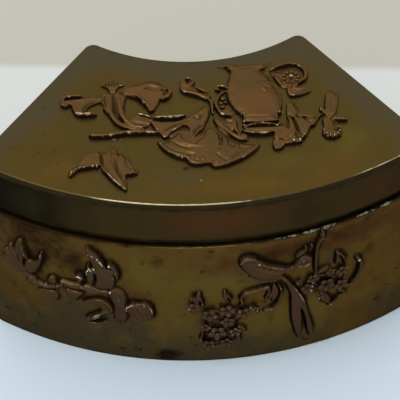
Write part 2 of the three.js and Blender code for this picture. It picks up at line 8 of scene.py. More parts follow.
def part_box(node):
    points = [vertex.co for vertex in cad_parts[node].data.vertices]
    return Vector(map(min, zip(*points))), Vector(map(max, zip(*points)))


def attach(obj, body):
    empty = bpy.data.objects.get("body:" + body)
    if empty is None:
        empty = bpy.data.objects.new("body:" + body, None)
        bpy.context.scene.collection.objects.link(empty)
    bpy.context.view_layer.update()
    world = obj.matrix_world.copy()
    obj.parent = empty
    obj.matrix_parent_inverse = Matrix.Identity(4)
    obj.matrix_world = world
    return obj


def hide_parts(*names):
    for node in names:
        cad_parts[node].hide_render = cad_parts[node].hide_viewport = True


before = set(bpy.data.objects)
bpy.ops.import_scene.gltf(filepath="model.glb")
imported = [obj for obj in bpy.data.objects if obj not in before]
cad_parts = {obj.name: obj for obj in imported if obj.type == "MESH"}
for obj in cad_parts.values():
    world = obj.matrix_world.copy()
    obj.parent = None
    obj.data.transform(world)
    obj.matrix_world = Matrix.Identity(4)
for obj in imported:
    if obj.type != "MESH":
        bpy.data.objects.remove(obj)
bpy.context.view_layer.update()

mm = 0.001


def boxMm(node):
    low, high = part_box(node)
    return [v / mm for v in low], [v / mm for v in high]


# The plan is a sector of a ring round the fan centre; the rest is read from the frame
plan = {
    "outerRadius": 100.0,
    "innerRadius": 48.0,
    "halfAngle": math.radians(36.0),
    "cornerRadius": 2.5,
    "wallThickness": 1.5,
    "collarThickness": 1.2,
    "collarClearance": 0.3,
    "plateOverhang": 0.05,
    "plateEdgeRound": 0.35,
    "frontReliefClearance": 0.15,
    "leastRounding": 0.4,    # of an inset outline's corners
}
outlineSteps = {"frontHalf": 110, "corner": 10, "side": 59, "backHalf": 60}
wallLow, wallHigh = boxMm("base_wall")
skirtLow, skirtHigh = boxMm("lid_skirt")
plateLow, plateHigh = boxMm("lid_plate")
collarLow, collarHigh = boxMm("inner_collar")
fanCentreY = wallLow[1] + plan["outerRadius"]
lidTop = plateHigh[2]


# Plan outline, as many points whatever the inset, so that outlines can be skinned
def arc(centre, radius, start, end, steps):
    angles = np.linspace(start, end, steps + 1)
    return np.stack([centre[0] + radius * np.cos(angles), centre[1] + radius * np.sin(angles)], 1)


def fanOutline(inset):
    outer = plan["outerRadius"] - inset
    inner = plan["innerRadius"] + inset
    rounding = max(plan["cornerRadius"] - inset, plan["leastRounding"])
    side = plan["halfAngle"] - math.pi / 2
    offset = inset + rounding
    along = np.array([math.cos(side), math.sin(side)])
    inward = np.array([math.sin(side), -math.cos(side)])
    centre = np.array([0.0, fanCentreY])

    def corner(radius):
        return along * math.sqrt(radius ** 2 - offset ** 2) + inward * offset

    front, back = corner(outer - rounding), corner(inner + rounding)
    frontAngle = math.atan2(front[1], front[0])
    backAngle = math.atan2(back[1], back[0])
    sideNormal = side + math.pi / 2
    frontArc = arc(centre, outer, -math.pi / 2, frontAngle, outlineSteps["frontHalf"])
    frontTurn = arc(centre + front, rounding, frontAngle, sideNormal, outlineSteps["corner"])
    backTurn = arc(centre + back, rounding, sideNormal, backAngle + math.pi, outlineSteps["corner"])
    backArc = arc(centre, inner, backAngle, -math.pi / 2, outlineSteps["backHalf"])
    sideLine = np.linspace(0, 1, outlineSteps["side"] + 1)[1:-1, None]
    sidePoints = frontTurn[-1] + (backTurn[0] - frontTurn[-1]) * sideLine
    half = np.concatenate([frontArc, frontTurn[1:], sidePoints, backTurn, backArc[1:]])
    mirrored = half[1:-1][::-1] * [-1, 1]
    return np.concatenate([half, mirrored])


# Mesh making
def sceneObject(name, data):
    made = bpy.data.objects.new(name, data)
    bpy.context.scene.collection.objects.link(made)
    return made


def meshObject(name, points, faces, body, material, attributes):
    mesh = bpy.data.meshes.new(name)
    mesh.from_pydata((np.asarray(points) * mm).tolist(), [], faces)
    mesh.validate()
    mesh.update()
    for key, values in attributes.items():
        layer = mesh.attributes.new(key, "FLOAT", "POINT")
        layer.data.foreach_set("value", np.asarray(values, dtype=np.float32))
    mesh.materials.append(material)
    mesh.polygons.foreach_set("use_smooth", [True] * len(mesh.polygons))
    piece = sceneObject(name, mesh)
    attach(piece, body)
    return piece


def ringFaces(first, second, count):
    here = np.arange(count)
    ahead = (here + 1) % count
    low, high = first * count, second * count
    return np.stack([low + here, low + ahead, high + ahead, high + here], 1)


def wobble(points, amount, scale):
    # Slow hand-made unevenness, the same every run
    x, y, z = (points / scale).T
    broad = np.sin(1.7 * x + 0.6 * z + 1.1) * np.cos(1.3 * z - 0.8 * y)
    return amount * (broad + 0.5 * np.sin(3.1 * x - 2.3 * z + y))


# A quarter turn round an edge of the metal, as inset and height, from an angle in degrees
def roundedEdge(inset, z, radius, start, steps=4):
    turns = math.radians(start) - np.linspace(0, math.pi / 2, steps + 1)
    return list(zip(inset + radius * np.cos(turns), z + radius * np.sin(turns)))


# A closed band: the profile runs up the outside, over the rim and down the inside
def bandProfile(outerInset, thickness, bottom, top, radius, rows, insideRows=5):
    inner = outerInset + thickness
    left, right, low, high = outerInset + radius, inner - radius, bottom + radius, top - radius
    outside = [(outerInset, z) for z in np.linspace(low + radius, high - radius, rows)]
    inside = [(inner, z) for z in np.linspace(high - radius, low + radius, insideRows)]
    rim = roundedEdge(left, high, radius, 180) + roundedEdge(right, high, radius, 90)
    foot = roundedEdge(right, low, radius, 0) + roundedEdge(left, low, radius, -90)
    return outside + rim + inside + foot


bandWave = {"scale": 14.0, "rimPower": 6}    # mm, and how late the unevenness fades towards the rims


def makeBand(name, node, body, slotName, material, profile, uneven, marksAt):
    outlines = [fanOutline(inset) for inset, _ in profile]
    levels = [z for _, z in profile]
    count, rings = len(outlines[0]), len(profile)
    points = np.concatenate([np.column_stack([o, np.full(count, z)]) for o, z in zip(outlines, levels)])
    away = points[:, :2] - [0, fanCentreY]
    away /= np.linalg.norm(away, axis=1)[:, None]
    mid, halfSpan = (min(levels) + max(levels)) / 2, (max(levels) - min(levels)) / 2
    fade = np.clip(1 - (np.abs(points[:, 2] - mid) / halfSpan) ** bandWave["rimPower"], 0, 1)
    points[:, :2] -= away * (np.abs(wobble(points, uneven, bandWave["scale"])) * fade)[:, None]
    faces = np.concatenate([ringFaces(i, (i + 1) % rings, count) for i in range(rings)])
    piece = meshObject(name, points, faces.tolist(), body, material, marksAt(points))
    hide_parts(node)
    print("band", name, len(faces), "faces")


def bell(values, width):
    return np.exp(-(values / width) ** 2)


# Relief: a height over the surface for each form, in the casting's own flat coordinates
def smoothCurve(points, closed=False, steps=8):
    p = np.asarray(points, dtype=float)
    if closed:
        padded = np.concatenate([p[-1:], p, p[:2]])
    else:
        padded = np.concatenate([2 * p[:1] - p[1:2], p, 2 * p[-1:] - p[-2:-1]])
    out = []
    for a, b, c, d in zip(padded[:-3], padded[1:-2], padded[2:-1], padded[3:]):
        t = np.linspace(0, 1, steps, endpoint=False)[:, None]
        square, cube = 2 * a - 5 * b + 4 * c - d, 3 * b - a - 3 * c + d
        out.append(0.5 * (2 * b + (c - a) * t + square * t ** 2 + cube * t ** 3))
    if not closed:
        out.append(p[-1:])
    return np.concatenate(out)


def nearestOnCurve(x, y, curve, closed=False):
    # Distance to the curve, and how far along it the nearest point lies
    start = curve if closed else curve[:-1]
    end = np.roll(curve, -1, axis=0) if closed else curve[1:]
    best = np.full(x.shape, 1e9)
    place = np.zeros(x.shape)
    side = np.zeros(x.shape)
    lengths = np.linalg.norm(end - start, axis=1)
    before = np.concatenate([[0], np.cumsum(lengths)])
    for i, (a, b) in enumerate(zip(start, end)):
        if lengths[i] < 1e-9:
            continue
        dx, dy = (b - a) / lengths[i]
        t = np.clip((x - a[0]) * dx + (y - a[1]) * dy, 0, lengths[i])
        ox, oy = x - a[0] - t * dx, y - a[1] - t * dy
        distance = np.hypot(ox, oy)
        closer = distance < best
        best = np.where(closer, distance, best)
        place = np.where(closer, (before[i] + t) / before[-1], place)
        side = np.where(closer, dx * oy - dy * ox, side)
    return best, place, side, before[-1]


def insideLoop(x, y, loop):
    inside = np.zeros(x.shape, dtype=bool)
    previous = loop[-1]
    for point in loop:
        crosses = (previous[1] > y) != (point[1] > y)
        with np.errstate(divide="ignore", invalid="ignore"):
            reach = (point[0] - previous[0]) * (y - previous[1]) / (point[1] - previous[1]) + previous[0]
        inside ^= crosses & (x < reach)
        previous = point
    return inside


formLook = {
    "slabFall": 1.6,      # how steeply a slab or an opening falls away past its outline
    "lobeFall": 1.4,      # the same of a lobe, bead or ring
    "farGain": 1.6,       # how soon an edge counts as a far one
    "farPasses": 10,      # blur passes of that
    "crownPasses": 24,    # blur passes of the depth that a crown rises over
    "crownReach": 2.0,    # mm from the edge to where a crown nears its height
    "grooveShare": 0.16,  # width of a middle groove against the lobe's half width
    "ringSteps": 40,      # points round a ring
    "veinLean": 0.7,      # how far veins slant back
}


# A flat form with a soft edge that can fade out on its far side
def slab(outline, height, edge=0.16, crown=0.2):
    loop = smoothCurve(outline, closed=True, steps=5)

    def heightAt(x, y, melt):
        distance, _, _, _ = nearestOnCurve(x, y, loop, closed=True)
        inside = insideLoop(x, y, loop)
        slopeY, slopeX = np.gradient(distance)
        nearFar = -(slopeX * melt[0] + slopeY * melt[1]) / (np.hypot(slopeX, slopeY) + 1e-9)
        far = blurred(np.clip(nearFar, 0, 1) * inside, formLook["farPasses"])
        far = np.clip(formLook["farGain"] * far, 0, 1)
        reach = np.clip(distance / (edge + melt[2] * far), 0, 1)
        steep, gentle = np.sqrt(1 - (1 - reach) ** 2), reach ** 2 * (3 - 2 * reach)
        depth = blurred(distance * inside, formLook["crownPasses"])
        swell = crown * (1 - np.exp(-depth / formLook["crownReach"])) * reach
        rise = height * (steep + (gentle - steep) * far) + swell
        return np.where(inside, rise, -formLook["slabFall"] * distance)

    return heightAt, loop


# A low flat form that joins others, without a crown
def web(outline, height, edge):
    return slab(outline, height, edge=edge, crown=0.0)


# A rounded form along a spine, pointed at its ends
def lobe(spine, halfWidth, height, ends=0.5, widest=0.5, groove=0.0, veins=0.0, pitch=0.9):
    curve = smoothCurve(spine, steps=8)
    lean = math.log(0.5) / math.log(widest)

    def heightAt(x, y, melt):
        distance, t, side, length = nearestOnCurve(x, y, curve)
        s = np.clip(t, 1e-4, 1 - 1e-4) ** lean
        full = np.clip(4 * s * (1 - s), 1e-4, 1) ** ends
        width = halfWidth * full
        q = distance / width
        dome = height * np.sqrt(full) * np.sqrt(np.clip(1 - q ** 2, 0, 1))
        dome = dome - groove * height * bell(distance, formLook["grooveShare"] * halfWidth)
        ripple = np.sin((t * length - formLook["veinLean"] * np.abs(side)) * 2 * math.pi / pitch)
        dome = dome + veins * ripple * np.clip(1 - q, 0, 1) * np.clip(q * 4, 0, 1)
        return np.where(q < 1, dome, -formLook["lobeFall"] * (distance - width))

    return heightAt, np.concatenate([curve + halfWidth, curve - halfWidth])


# A lobe that stays wide almost to its ends
def rib(spine, halfWidth, height):
    return lobe(spine, halfWidth, height, ends=0.3)


def roundTop(distance, halfWidth, height):
    dome = height * np.sqrt(np.clip(1 - (distance / halfWidth) ** 2, 0, 1))
    return np.where(distance < halfWidth, dome, -formLook["lobeFall"] * (distance - halfWidth))


def bead(x0, y0, radius, height):
    def heightAt(x, y, melt):
        return roundTop(np.hypot(x - x0, y - y0), radius, height)

    return heightAt, np.array([[x0 - radius, y0 - radius], [x0 + radius, y0 + radius]])


# Beads, each given as its place, radius and height
def beads(*rows):
    return [bead(*row) for row in rows]


def ringForm(x0, y0, radiusX, radiusY, halfWidth, height):
    turns = np.linspace(0, 2 * math.pi, formLook["ringSteps"], endpoint=False)
    curve = np.stack([x0 + radiusX * np.cos(turns), y0 + radiusY * np.sin(turns)], 1)

    def heightAt(x, y, melt):
        return roundTop(nearestOnCurve(x, y, curve, closed=True)[0], halfWidth, height)

    return heightAt, np.concatenate([curve + halfWidth, curve - halfWidth])


def onLid(x, y, rise):
    return np.stack([x, y, lidTop + rise], -1)


def onFront(x, y, rise):
    radius = plan["outerRadius"] + plan["frontReliefClearance"] + rise
    angle = x / plan["outerRadius"]
    return np.stack([radius * np.sin(angle), fanCentreY - radius * np.cos(angle), y], -1)


def blurred(values, passes):
    for _ in range(passes):
        values = (np.roll(values, 1, 0) + 2 * values + np.roll(values, -1, 0)) / 4
        values = (np.roll(values, 1, 1) + 2 * values + np.roll(values, -1, 1)) / 4
    return values


reliefLook = {
    "spacing": 0.14,      # grid step of a casting, mm
    "margin": 4,          # grid steps left free round it
    "empty": -5.0,        # height where no form lies, mm
    "sunk": 0.45,         # how far its skirt goes into what carries it, mm
    "floorDrop": 0.1,     # its flat underside is this much lower still, mm
    "softness": 1,        # blur passes, as a worn cast has
    "hammer": 0.01,       # small unevenness, mm
    "hammerFrom": 0.1,    # the least height that has it, mm
    "lowest": -1.2,       # where the modelling's own sides stop, mm
    "taper": (0.03, 0.4),    # least width of a crease's ends, and how late it narrows
    "flatFrom": 0.9,      # modelling higher than this, mm, is flattened
    "flatShare": {"lid": 0.6, "front": 0.85},                 # to this share of its height
    "cutWidth": {"lid": 1.45, "front": 1.2},                  # creases are this much wider than drawn
    "melt": {"lid": (0.45, 0.89, 2.2), "front": (0.0, -1.0, 0.3)},   # the way, and how wide, edges fade
}
maskLook = {
    "rubbedFrom": 1.45, "rubbedOver": 0.25,                   # modelling this high, mm, is rubbed bright and takes painted glints
    "darkSide": {"lid": (0.45, 0.89), "front": (0.2, 0.3)},   # the way its sides with the most painted shade rise
    "sideShade": {"lid": 0.25, "front": 0.5},                 # how much painted shade its left and right sides get
    "leastShade": 0.06,                                       # what is left of that on a lit side
    "steepFrom": 0.9, "steepOver": 1.3,                       # slopes that count as sides
    "lowFrom": {"lid": 0.3, "front": 0.6}, "lowOver": 0.4,    # dirt and painted shade lie below this height, mm
    "dipGain": 2.0, "dipPasses": 14,                          # dirt and painted shade in dips of the modelling
    "ridgeGain": 5, "ridgePasses": 4,                         # narrow ridges that rubbing and painted glints reach
    "ridgeShare": 0.3, "rubbedShare": 0.7, "farShare": 0.5,   # what makes a ridge bright: rubbing, and painted glints, most on sides that face the camera
    "meltTop": 0.95, "meltOver": 0.5, "meltPasses": 3,        # low far edges take the ground's colour
    "awayFrom": 0.3, "awaySlope": 0.3,                        # what counts as such an edge
}


# Where relief covers the lid and the front, kept for the dirt and the painted shadow round it
coverStep = 0.3
covers = {
    "lid": (-55.0, -35.0, np.zeros((250, 370))),
    "front": (-62.0, -3.0, np.zeros((200, 414))),
}


def coverAt(side, x, y, passes):
    lowX, lowY, cover = covers[side]
    soft = blurred(cover, passes)
    column = np.clip((x - lowX) / coverStep, 0, cover.shape[1] - 2)
    row = np.clip((y - lowY) / coverStep, 0, cover.shape[0] - 2)
    i, j = row.astype(int), column.astype(int)
    v, u = row - i, column - j
    lower = soft[i, j] * (1 - u) + soft[i, j + 1] * u
    upper = soft[i + 1, j] * (1 - u) + soft[i + 1, j + 1] * u
    return lower * (1 - v) + upper * v


def ramp(values, start, over):
    return np.clip((values - start) / over, 0, 1)


def castingRise(side, gx, gy, forms, cuts, openings):
    flatFrom, flatShare = reliefLook["flatFrom"], reliefLook["flatShare"][side]
    leastTaper, taperPower = reliefLook["taper"]
    rise = np.full(gx.shape, reliefLook["empty"])
    for heightAt, _ in forms:
        rise = np.maximum(rise, heightAt(gx, gy, reliefLook["melt"][side]))
    rubbedAndGlinting = ramp(rise, maskLook["rubbedFrom"], maskLook["rubbedOver"])
    rise = np.where(rise > flatFrom, flatFrom + flatShare * (rise - flatFrom), rise)
    for curve, width, depth in cuts:
        distance, along, _, _ = nearestOnCurve(gx, gy, smoothCurve(curve))
        taper = np.clip(4 * along * (1 - along), leastTaper, 1) ** taperPower
        reach = width * reliefLook["cutWidth"][side] * taper
        rise = rise - depth * taper * bell(distance, reach) * (rise > 0)
    for opening in openings:
        loop = smoothCurve(opening, closed=True)
        fall = -formLook["slabFall"] * nearestOnCurve(gx, gy, loop, closed=True)[0]
        rise = np.where(insideLoop(gx, gy, loop), np.minimum(rise, fall), rise)
    rise = blurred(np.clip(rise, reliefLook["lowest"], None), reliefLook["softness"])
    hammer = np.sin(2.9 * gx + 1.3 * np.sin(2.1 * gy)) * np.sin(3.3 * gy + 1.7 * np.sin(1.9 * gx))
    return rise + reliefLook["hammer"] * hammer * (rise > reliefLook["hammerFrom"]), rubbedAndGlinting


def castingMasks(side, rise, rubbedAndGlinting):
    # Where a casting is rubbed bright with painted glints, dirty with painted shade, or fading into what
    # carries it
    look = maskLook
    above = np.clip(rise, 0, None)
    dip = look["dipGain"] * (blurred(above, look["dipPasses"]) - above)
    slopeY, slopeX = np.gradient(rise, reliefLook["spacing"])
    slope = np.hypot(slopeX, slopeY) + 1e-6
    wayX, wayY = look["darkSide"][side]
    towards = (slopeX * wayX + slopeY * wayY) / slope
    shade = np.clip(look["sideShade"][side] + towards, 0, 1)
    shade = look["leastShade"] + (1 - look["leastShade"]) * shade
    low = (look["lowFrom"][side] - rise) / look["lowOver"]
    steep = ramp(slope, look["steepFrom"], look["steepOver"])
    hollowDirtAndShade = np.clip(np.maximum(steep * shade, np.maximum(dip, low * shade)), 0, 1)
    ridge = np.clip(look["ridgeGain"] * (above - blurred(above, look["ridgePasses"])), 0, 1)
    bright = look["ridgeShare"] + look["rubbedShare"] * rubbedAndGlinting + look["farShare"] * np.clip(towards, 0, 1)
    away = np.clip(look["awayFrom"] - towards, 0, 1) * np.clip(slope / look["awaySlope"], 0, 1)
    fading = np.clip((look["meltTop"] - rise) / look["meltOver"], 0, 1) * away
    return {"crestWearAndGlint": ridge * np.clip(bright, 0, 1), "hollowDirtAndShade": hollowDirtAndShade,
            "melted": blurred(fading, look["meltPasses"])}


def closedGrid(place, gx, gy, rise):
    # The relief's top, a flat underside sunk in what carries it, and the sides between them
    sunk, under = reliefLook["sunk"], gx.size
    shown = rise > -sunk
    cells = shown[:-1, :-1] | shown[1:, :-1] | shown[:-1, 1:] | shown[1:, 1:]
    top = place(gx, gy, np.clip(rise, -sunk, None)).reshape(-1, 3)
    bottom = place(gx, gy, np.full(gx.shape, -sunk - reliefLook["floorDrop"])).reshape(-1, 3)
    index = np.arange(under).reshape(gx.shape)
    a, b, c, d = index[:-1, :-1], index[:-1, 1:], index[1:, 1:], index[1:, :-1]
    upper = np.stack([corner[cells] for corner in (a, b, c, d)], 1)
    faces = [upper, upper[:, ::-1] + under]
    padded = np.pad(cells, 1)
    sides = [(padded[:-2, 1:-1], a, b), (padded[2:, 1:-1], c, d),
             (padded[1:-1, :-2], d, a), (padded[1:-1, 2:], b, c)]
    for neighbour, first, second in sides:
        rim = cells & ~neighbour
        p, q = first[rim], second[rim]
        faces.append(np.stack([q, p, p + under, q + under], 1))
    used, renumbered = np.unique(np.concatenate(faces), return_inverse=True)
    return np.concatenate([top, bottom])[used], renumbered.reshape(-1, 4), used


def makeRelief(name, node, body, material, side, forms, cuts, openings):
    step = reliefLook["spacing"]
    reach = np.concatenate([outline for _, outline in forms])
    margin = reliefLook["margin"] * step
    low, high = reach.min(0) - margin, reach.max(0) + margin
    gx, gy = np.meshgrid(np.arange(low[0], high[0], step), np.arange(low[1], high[1], step))
    rise, rubbedAndGlinting = castingRise(side, gx, gy, forms, cuts, openings)
    lowX, lowY, cover = covers[side]
    rows = ((gy - lowY) / coverStep).round().astype(int)
    columns = ((gx - lowX) / coverStep).round().astype(int)
    np.maximum.at(cover, (rows, columns), (rise > 0).astype(float))
    points, faces, used = closedGrid(onLid if side == "lid" else onFront, gx, gy, rise)
    underside = {"crestWearAndGlint": 0, "hollowDirtAndShade": 1, "melted": 0}
    masks = {key: np.concatenate([values.ravel(), np.full(gx.size, underside[key])])[used]
             for key, values in castingMasks(side, rise, rubbedAndGlinting).items()}
    piece = meshObject(name, points, faces.tolist(), body, material, masks)
    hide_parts(node)
    print("relief", name, len(faces), "faces")


# Geometry Nodes: one blossom set on every point of a casting, facing out and turned by its own spin
blossomLook = {
    "Petals": 5,
    "Petal Reach": 1.02,
    "Petal Size": 0.86,
    "Petal Flatness": 0.46,
    "Petal Lift": -0.22,
    "Heart Size": 0.26,
    "Seat": 0.62,          # height of a blossom's middle over the wall, mm
    "Layer Step": 0.26,    # mm between blossoms that overlap
    "Spin Step": 2.4,      # radians from one blossom to the next
}
blossomDetail = {
    "segments": 12, "rings": 7,                       # of a petal
    "stretch": (1.05, 0.9),                           # of a petal, along it and across
    "heartLift": 0.16,
    # painted shade low on each petal, painted glints on its top
    "masks": {"hollowDirtAndShade": (0.26, -0.06), "crestWearAndGlint": (0.31, 0.54)},    # heights where each goes from 0 to 1
}


def feed(tree, socket, value):
    if hasattr(value, "is_linked"):
        tree.links.new(value, socket)
    else:
        socket.default_value = value


def blossomTree(material):
    tree = bpy.data.node_groups.new("blossomsOnPoints", "GeometryNodeTree")
    tree.interface.new_socket(name="Points", in_out="INPUT", socket_type="NodeSocketGeometry")
    tree.interface.new_socket(name="Petals", in_out="INPUT", socket_type="NodeSocketInt")
    for name in ("Petal Reach", "Petal Size", "Petal Flatness", "Petal Lift", "Heart Size"):
        tree.interface.new_socket(name=name, in_out="INPUT", socket_type="NodeSocketFloat")
    tree.interface.new_socket(name="Blossoms", in_out="OUTPUT", socket_type="NodeSocketGeometry")
    given = tree.nodes.new("NodeGroupInput").outputs
    detail = blossomDetail

    def add(kind, output, inputs, **settings):
        node = tree.nodes.new(kind)
        for key, value in settings.items():
            setattr(node, key, value)
        for label, value in inputs.items():
            feed(tree, node.inputs[label], value)
        return node.outputs[output]

    circle = add("GeometryNodeMeshCircle", "Mesh", {
        "Vertices": given["Petals"], "Radius": given["Petal Reach"]})
    ball = add("GeometryNodeMeshUVSphere", "Mesh", {
        "Segments": detail["segments"], "Rings": detail["rings"], "Radius": given["Petal Size"]})
    along, across = detail["stretch"]
    stretch = add("ShaderNodeCombineXYZ", "Vector", {"X": along, "Y": across, "Z": given["Petal Flatness"]})
    lift = add("ShaderNodeCombineXYZ", "Vector", {"Y": given["Petal Lift"]})
    lifted = add("FunctionNodeEulerToRotation", "Rotation", {"Euler": lift})
    petal = add("GeometryNodeTransform", "Geometry", {
        "Geometry": ball, "Scale": stretch, "Rotation": lifted})
    where = add("GeometryNodeInputPosition", "Position", {})
    aim = add("FunctionNodeAlignRotationToVector", "Rotation", {"Vector": where}, axis="X")
    petals = add("GeometryNodeInstanceOnPoints", "Instances", {
        "Points": circle, "Instance": petal, "Rotation": aim})
    seed = add("GeometryNodeMeshIcoSphere", "Mesh", {"Subdivisions": 2, "Radius": given["Heart Size"]})
    heart = add("GeometryNodeTransform", "Geometry", {
        "Translation": (0, 0, detail["heartLift"]), "Geometry": seed})
    join = tree.nodes.new("GeometryNodeJoinGeometry")
    for part in (petals, heart):
        tree.links.new(part, join.inputs["Geometry"])
    flower = add("GeometryNodeRealizeInstances", "Geometry", {"Geometry": join.outputs["Geometry"]})
    height = add("ShaderNodeSeparateXYZ", "Z", {"Vector": where})
    for name, (low, high) in detail["masks"].items():
        share = add("ShaderNodeMapRange", "Result", {"From Min": low, "From Max": high, "Value": height})
        flower = add("GeometryNodeStoreNamedAttribute", "Geometry", {
            "Name": name, "Geometry": flower, "Value": share})

    facing, spin, size = (
        add("GeometryNodeInputNamedAttribute", "Attribute", {"Name": name}, data_type=kind)
        for name, kind in (("facing", "FLOAT_VECTOR"), ("spin", "FLOAT"), ("size", "FLOAT")))
    outward = add("FunctionNodeAlignRotationToVector", "Rotation", {"Vector": facing}, axis="Z")
    turn = add("FunctionNodeAxisAngleToRotation", "Rotation", {"Axis": (0, 0, 1), "Angle": spin})
    rotate = add("FunctionNodeRotateRotation", "Rotation", {
        "Rotation": outward, "Rotate By": turn}, rotation_space="LOCAL")
    scatter = add("GeometryNodeInstanceOnPoints", "Instances", {
        "Points": given["Points"], "Instance": flower, "Rotation": rotate, "Scale": size})
    realized = add("GeometryNodeRealizeInstances", "Geometry", {"Geometry": scatter})
    smooth = add("GeometryNodeSetShadeSmooth", "Geometry", {"Geometry": realized})
    painted = add("GeometryNodeSetMaterial", "Geometry", {"Material": material, "Geometry": smooth})
    tree.links.new(painted, tree.nodes.new("NodeGroupOutput").inputs["Blossoms"])
    return tree


def makeBlossoms(name, body, tree, place, spots, look):
    x, y, size = np.asarray(spots, dtype=float).T
    rise = look["Seat"] + look["Layer Step"] * (np.arange(len(x)) * 2 % 3)
    seat, above = place(x, y, rise) * mm, place(x, y, rise + 1.0) * mm
    carrierMesh = bpy.data.meshes.new(name + "Points")
    carrierMesh.from_pydata(seat.tolist(), [], [])
    for key, kind, field, values in (
        ("facing", "FLOAT_VECTOR", "vector", (above - seat) / mm),
        ("spin", "FLOAT", "value", np.arange(len(x), dtype=np.float32) * look["Spin Step"]),
        ("size", "FLOAT", "value", size * mm),
    ):
        layer = carrierMesh.attributes.new(key, kind, "POINT")
        layer.data.foreach_set(field, values.astype(np.float32).ravel())
    carrier = sceneObject(name + "Points", carrierMesh)
    modifier = carrier.modifiers.new("blossoms", "NODES")
    modifier.node_group = tree
    for item in tree.interface.items_tree:
        if item.item_type == "SOCKET" and item.in_out == "INPUT" and item.name in look:
            modifier[item.identifier] = look[item.name]
    depsgraph = bpy.context.evaluated_depsgraph_get()
    mesh = bpy.data.meshes.new_from_object(carrier.evaluated_get(depsgraph))
    bpy.data.objects.remove(carrier)
    piece = sceneObject(name, mesh)
    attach(piece, body)
    print("blossoms", name, len(mesh.polygons), "faces")


# Finishes. Colours are given as they look on screen, 0 to 255
def tone(red, green, blue):
    def linear(value):
        value /= 255
        return value / 12.92 if value <= 0.04045 else ((value + 0.055) / 1.055) ** 2.4
    return (linear(red), linear(green), linear(blue), 1)


def newGroup(name, inputs, outputs):
    kinds = {"float": "NodeSocketFloat", "colour": "NodeSocketColor"}
    group = bpy.data.node_groups.new(name, "ShaderNodeTree")
    for label, kind, value in inputs:
        socket = group.interface.new_socket(name=label, in_out="INPUT", socket_type=kinds[kind])
        socket.default_value = value
    for label, kind in outputs:
        group.interface.new_socket(name=label, in_out="OUTPUT", socket_type=kinds[kind])
    return group, group.nodes.new("NodeGroupInput").outputs, group.nodes.new("NodeGroupOutput").inputs


def objectPoint(tree):
    return tree.nodes.new("ShaderNodeTexCoord").outputs["Object"]


def noiseAt(tree, vector, scale, detail=4.0, roughness=0.55, distortion=0.0):
    noise = tree.nodes.new("ShaderNodeTexNoise")
    for label, value in (("Vector", vector), ("Scale", scale), ("Detail", detail),
                         ("Roughness", roughness), ("Distortion", distortion)):
        feed(tree, noise.inputs[label], value)
    return noise.outputs["Fac"]


def remap(tree, value, low, high, toLow=0.0, toHigh=1.0):
    node = tree.nodes.new("ShaderNodeMapRange")
    node.interpolation_type = "SMOOTHSTEP"
    for label, given in (("Value", value), ("From Min", low), ("From Max", high),
                         ("To Min", toLow), ("To Max", toHigh)):
        feed(tree, node.inputs[label], given)
    return node.outputs["Result"]


def calc(tree, operation, first, second, clamp=False):
    node = tree.nodes.new("ShaderNodeMath")
    node.operation = operation
    node.use_clamp = clamp
    for socket, value in zip(node.inputs, (first, second)):
        feed(tree, socket, value)
    return node.outputs["Value"]


def plus(tree, first, second, clamp=False):
    return calc(tree, "ADD", first, second, clamp)


def minus(tree, first, second):
    return calc(tree, "SUBTRACT", first, second)


def times(tree, first, second, clamp=False):
    return calc(tree, "MULTIPLY", first, second, clamp)


def centred(tree, noise, amount):
    # Noise turned to run evenly to both sides of nought
    return times(tree, minus(tree, noise, 0.5), amount)


def blend(tree, factor, first, second, mode="MIX"):
    node = tree.nodes.new("ShaderNodeMix")
    node.data_type = "RGBA"
    node.blend_type = mode
    sockets = {s.identifier: s for s in node.inputs}
    for key, value in (("Factor_Float", factor), ("A_Color", first), ("B_Color", second)):
        feed(tree, sockets[key], value)
    return next(s for s in node.outputs if s.identifier == "Result_Color")


patinaLook = {
    "noises": {                       # scale against the blotches', detail, roughness, distortion
        "broad": (1.0, 3, 0.5, 0.4),
        "patches": (2.6, 4, 0.55, 0.6),
        "green": (1.4, 3, 0.55, 0.3),
        "fine": (14.0, 3, 0.6, 0.0),
        "grain": (55.0, 2, 0.5, 0.0),
    },
    "tintRange": (0.1, 0.9),
    "speckleGain": 2.2,
    "pitNoise": (360.0, 3, 0.6, 0.3),
    "pitRange": (0.62, 0.74),
    "roughMix": (0.6, 0.4), "roughRange": (0.35, 0.65),    # of patches and fine noise
    "heightMix": (0.5, 0.3, 0.12),                         # of patches, fine noise and grain
}


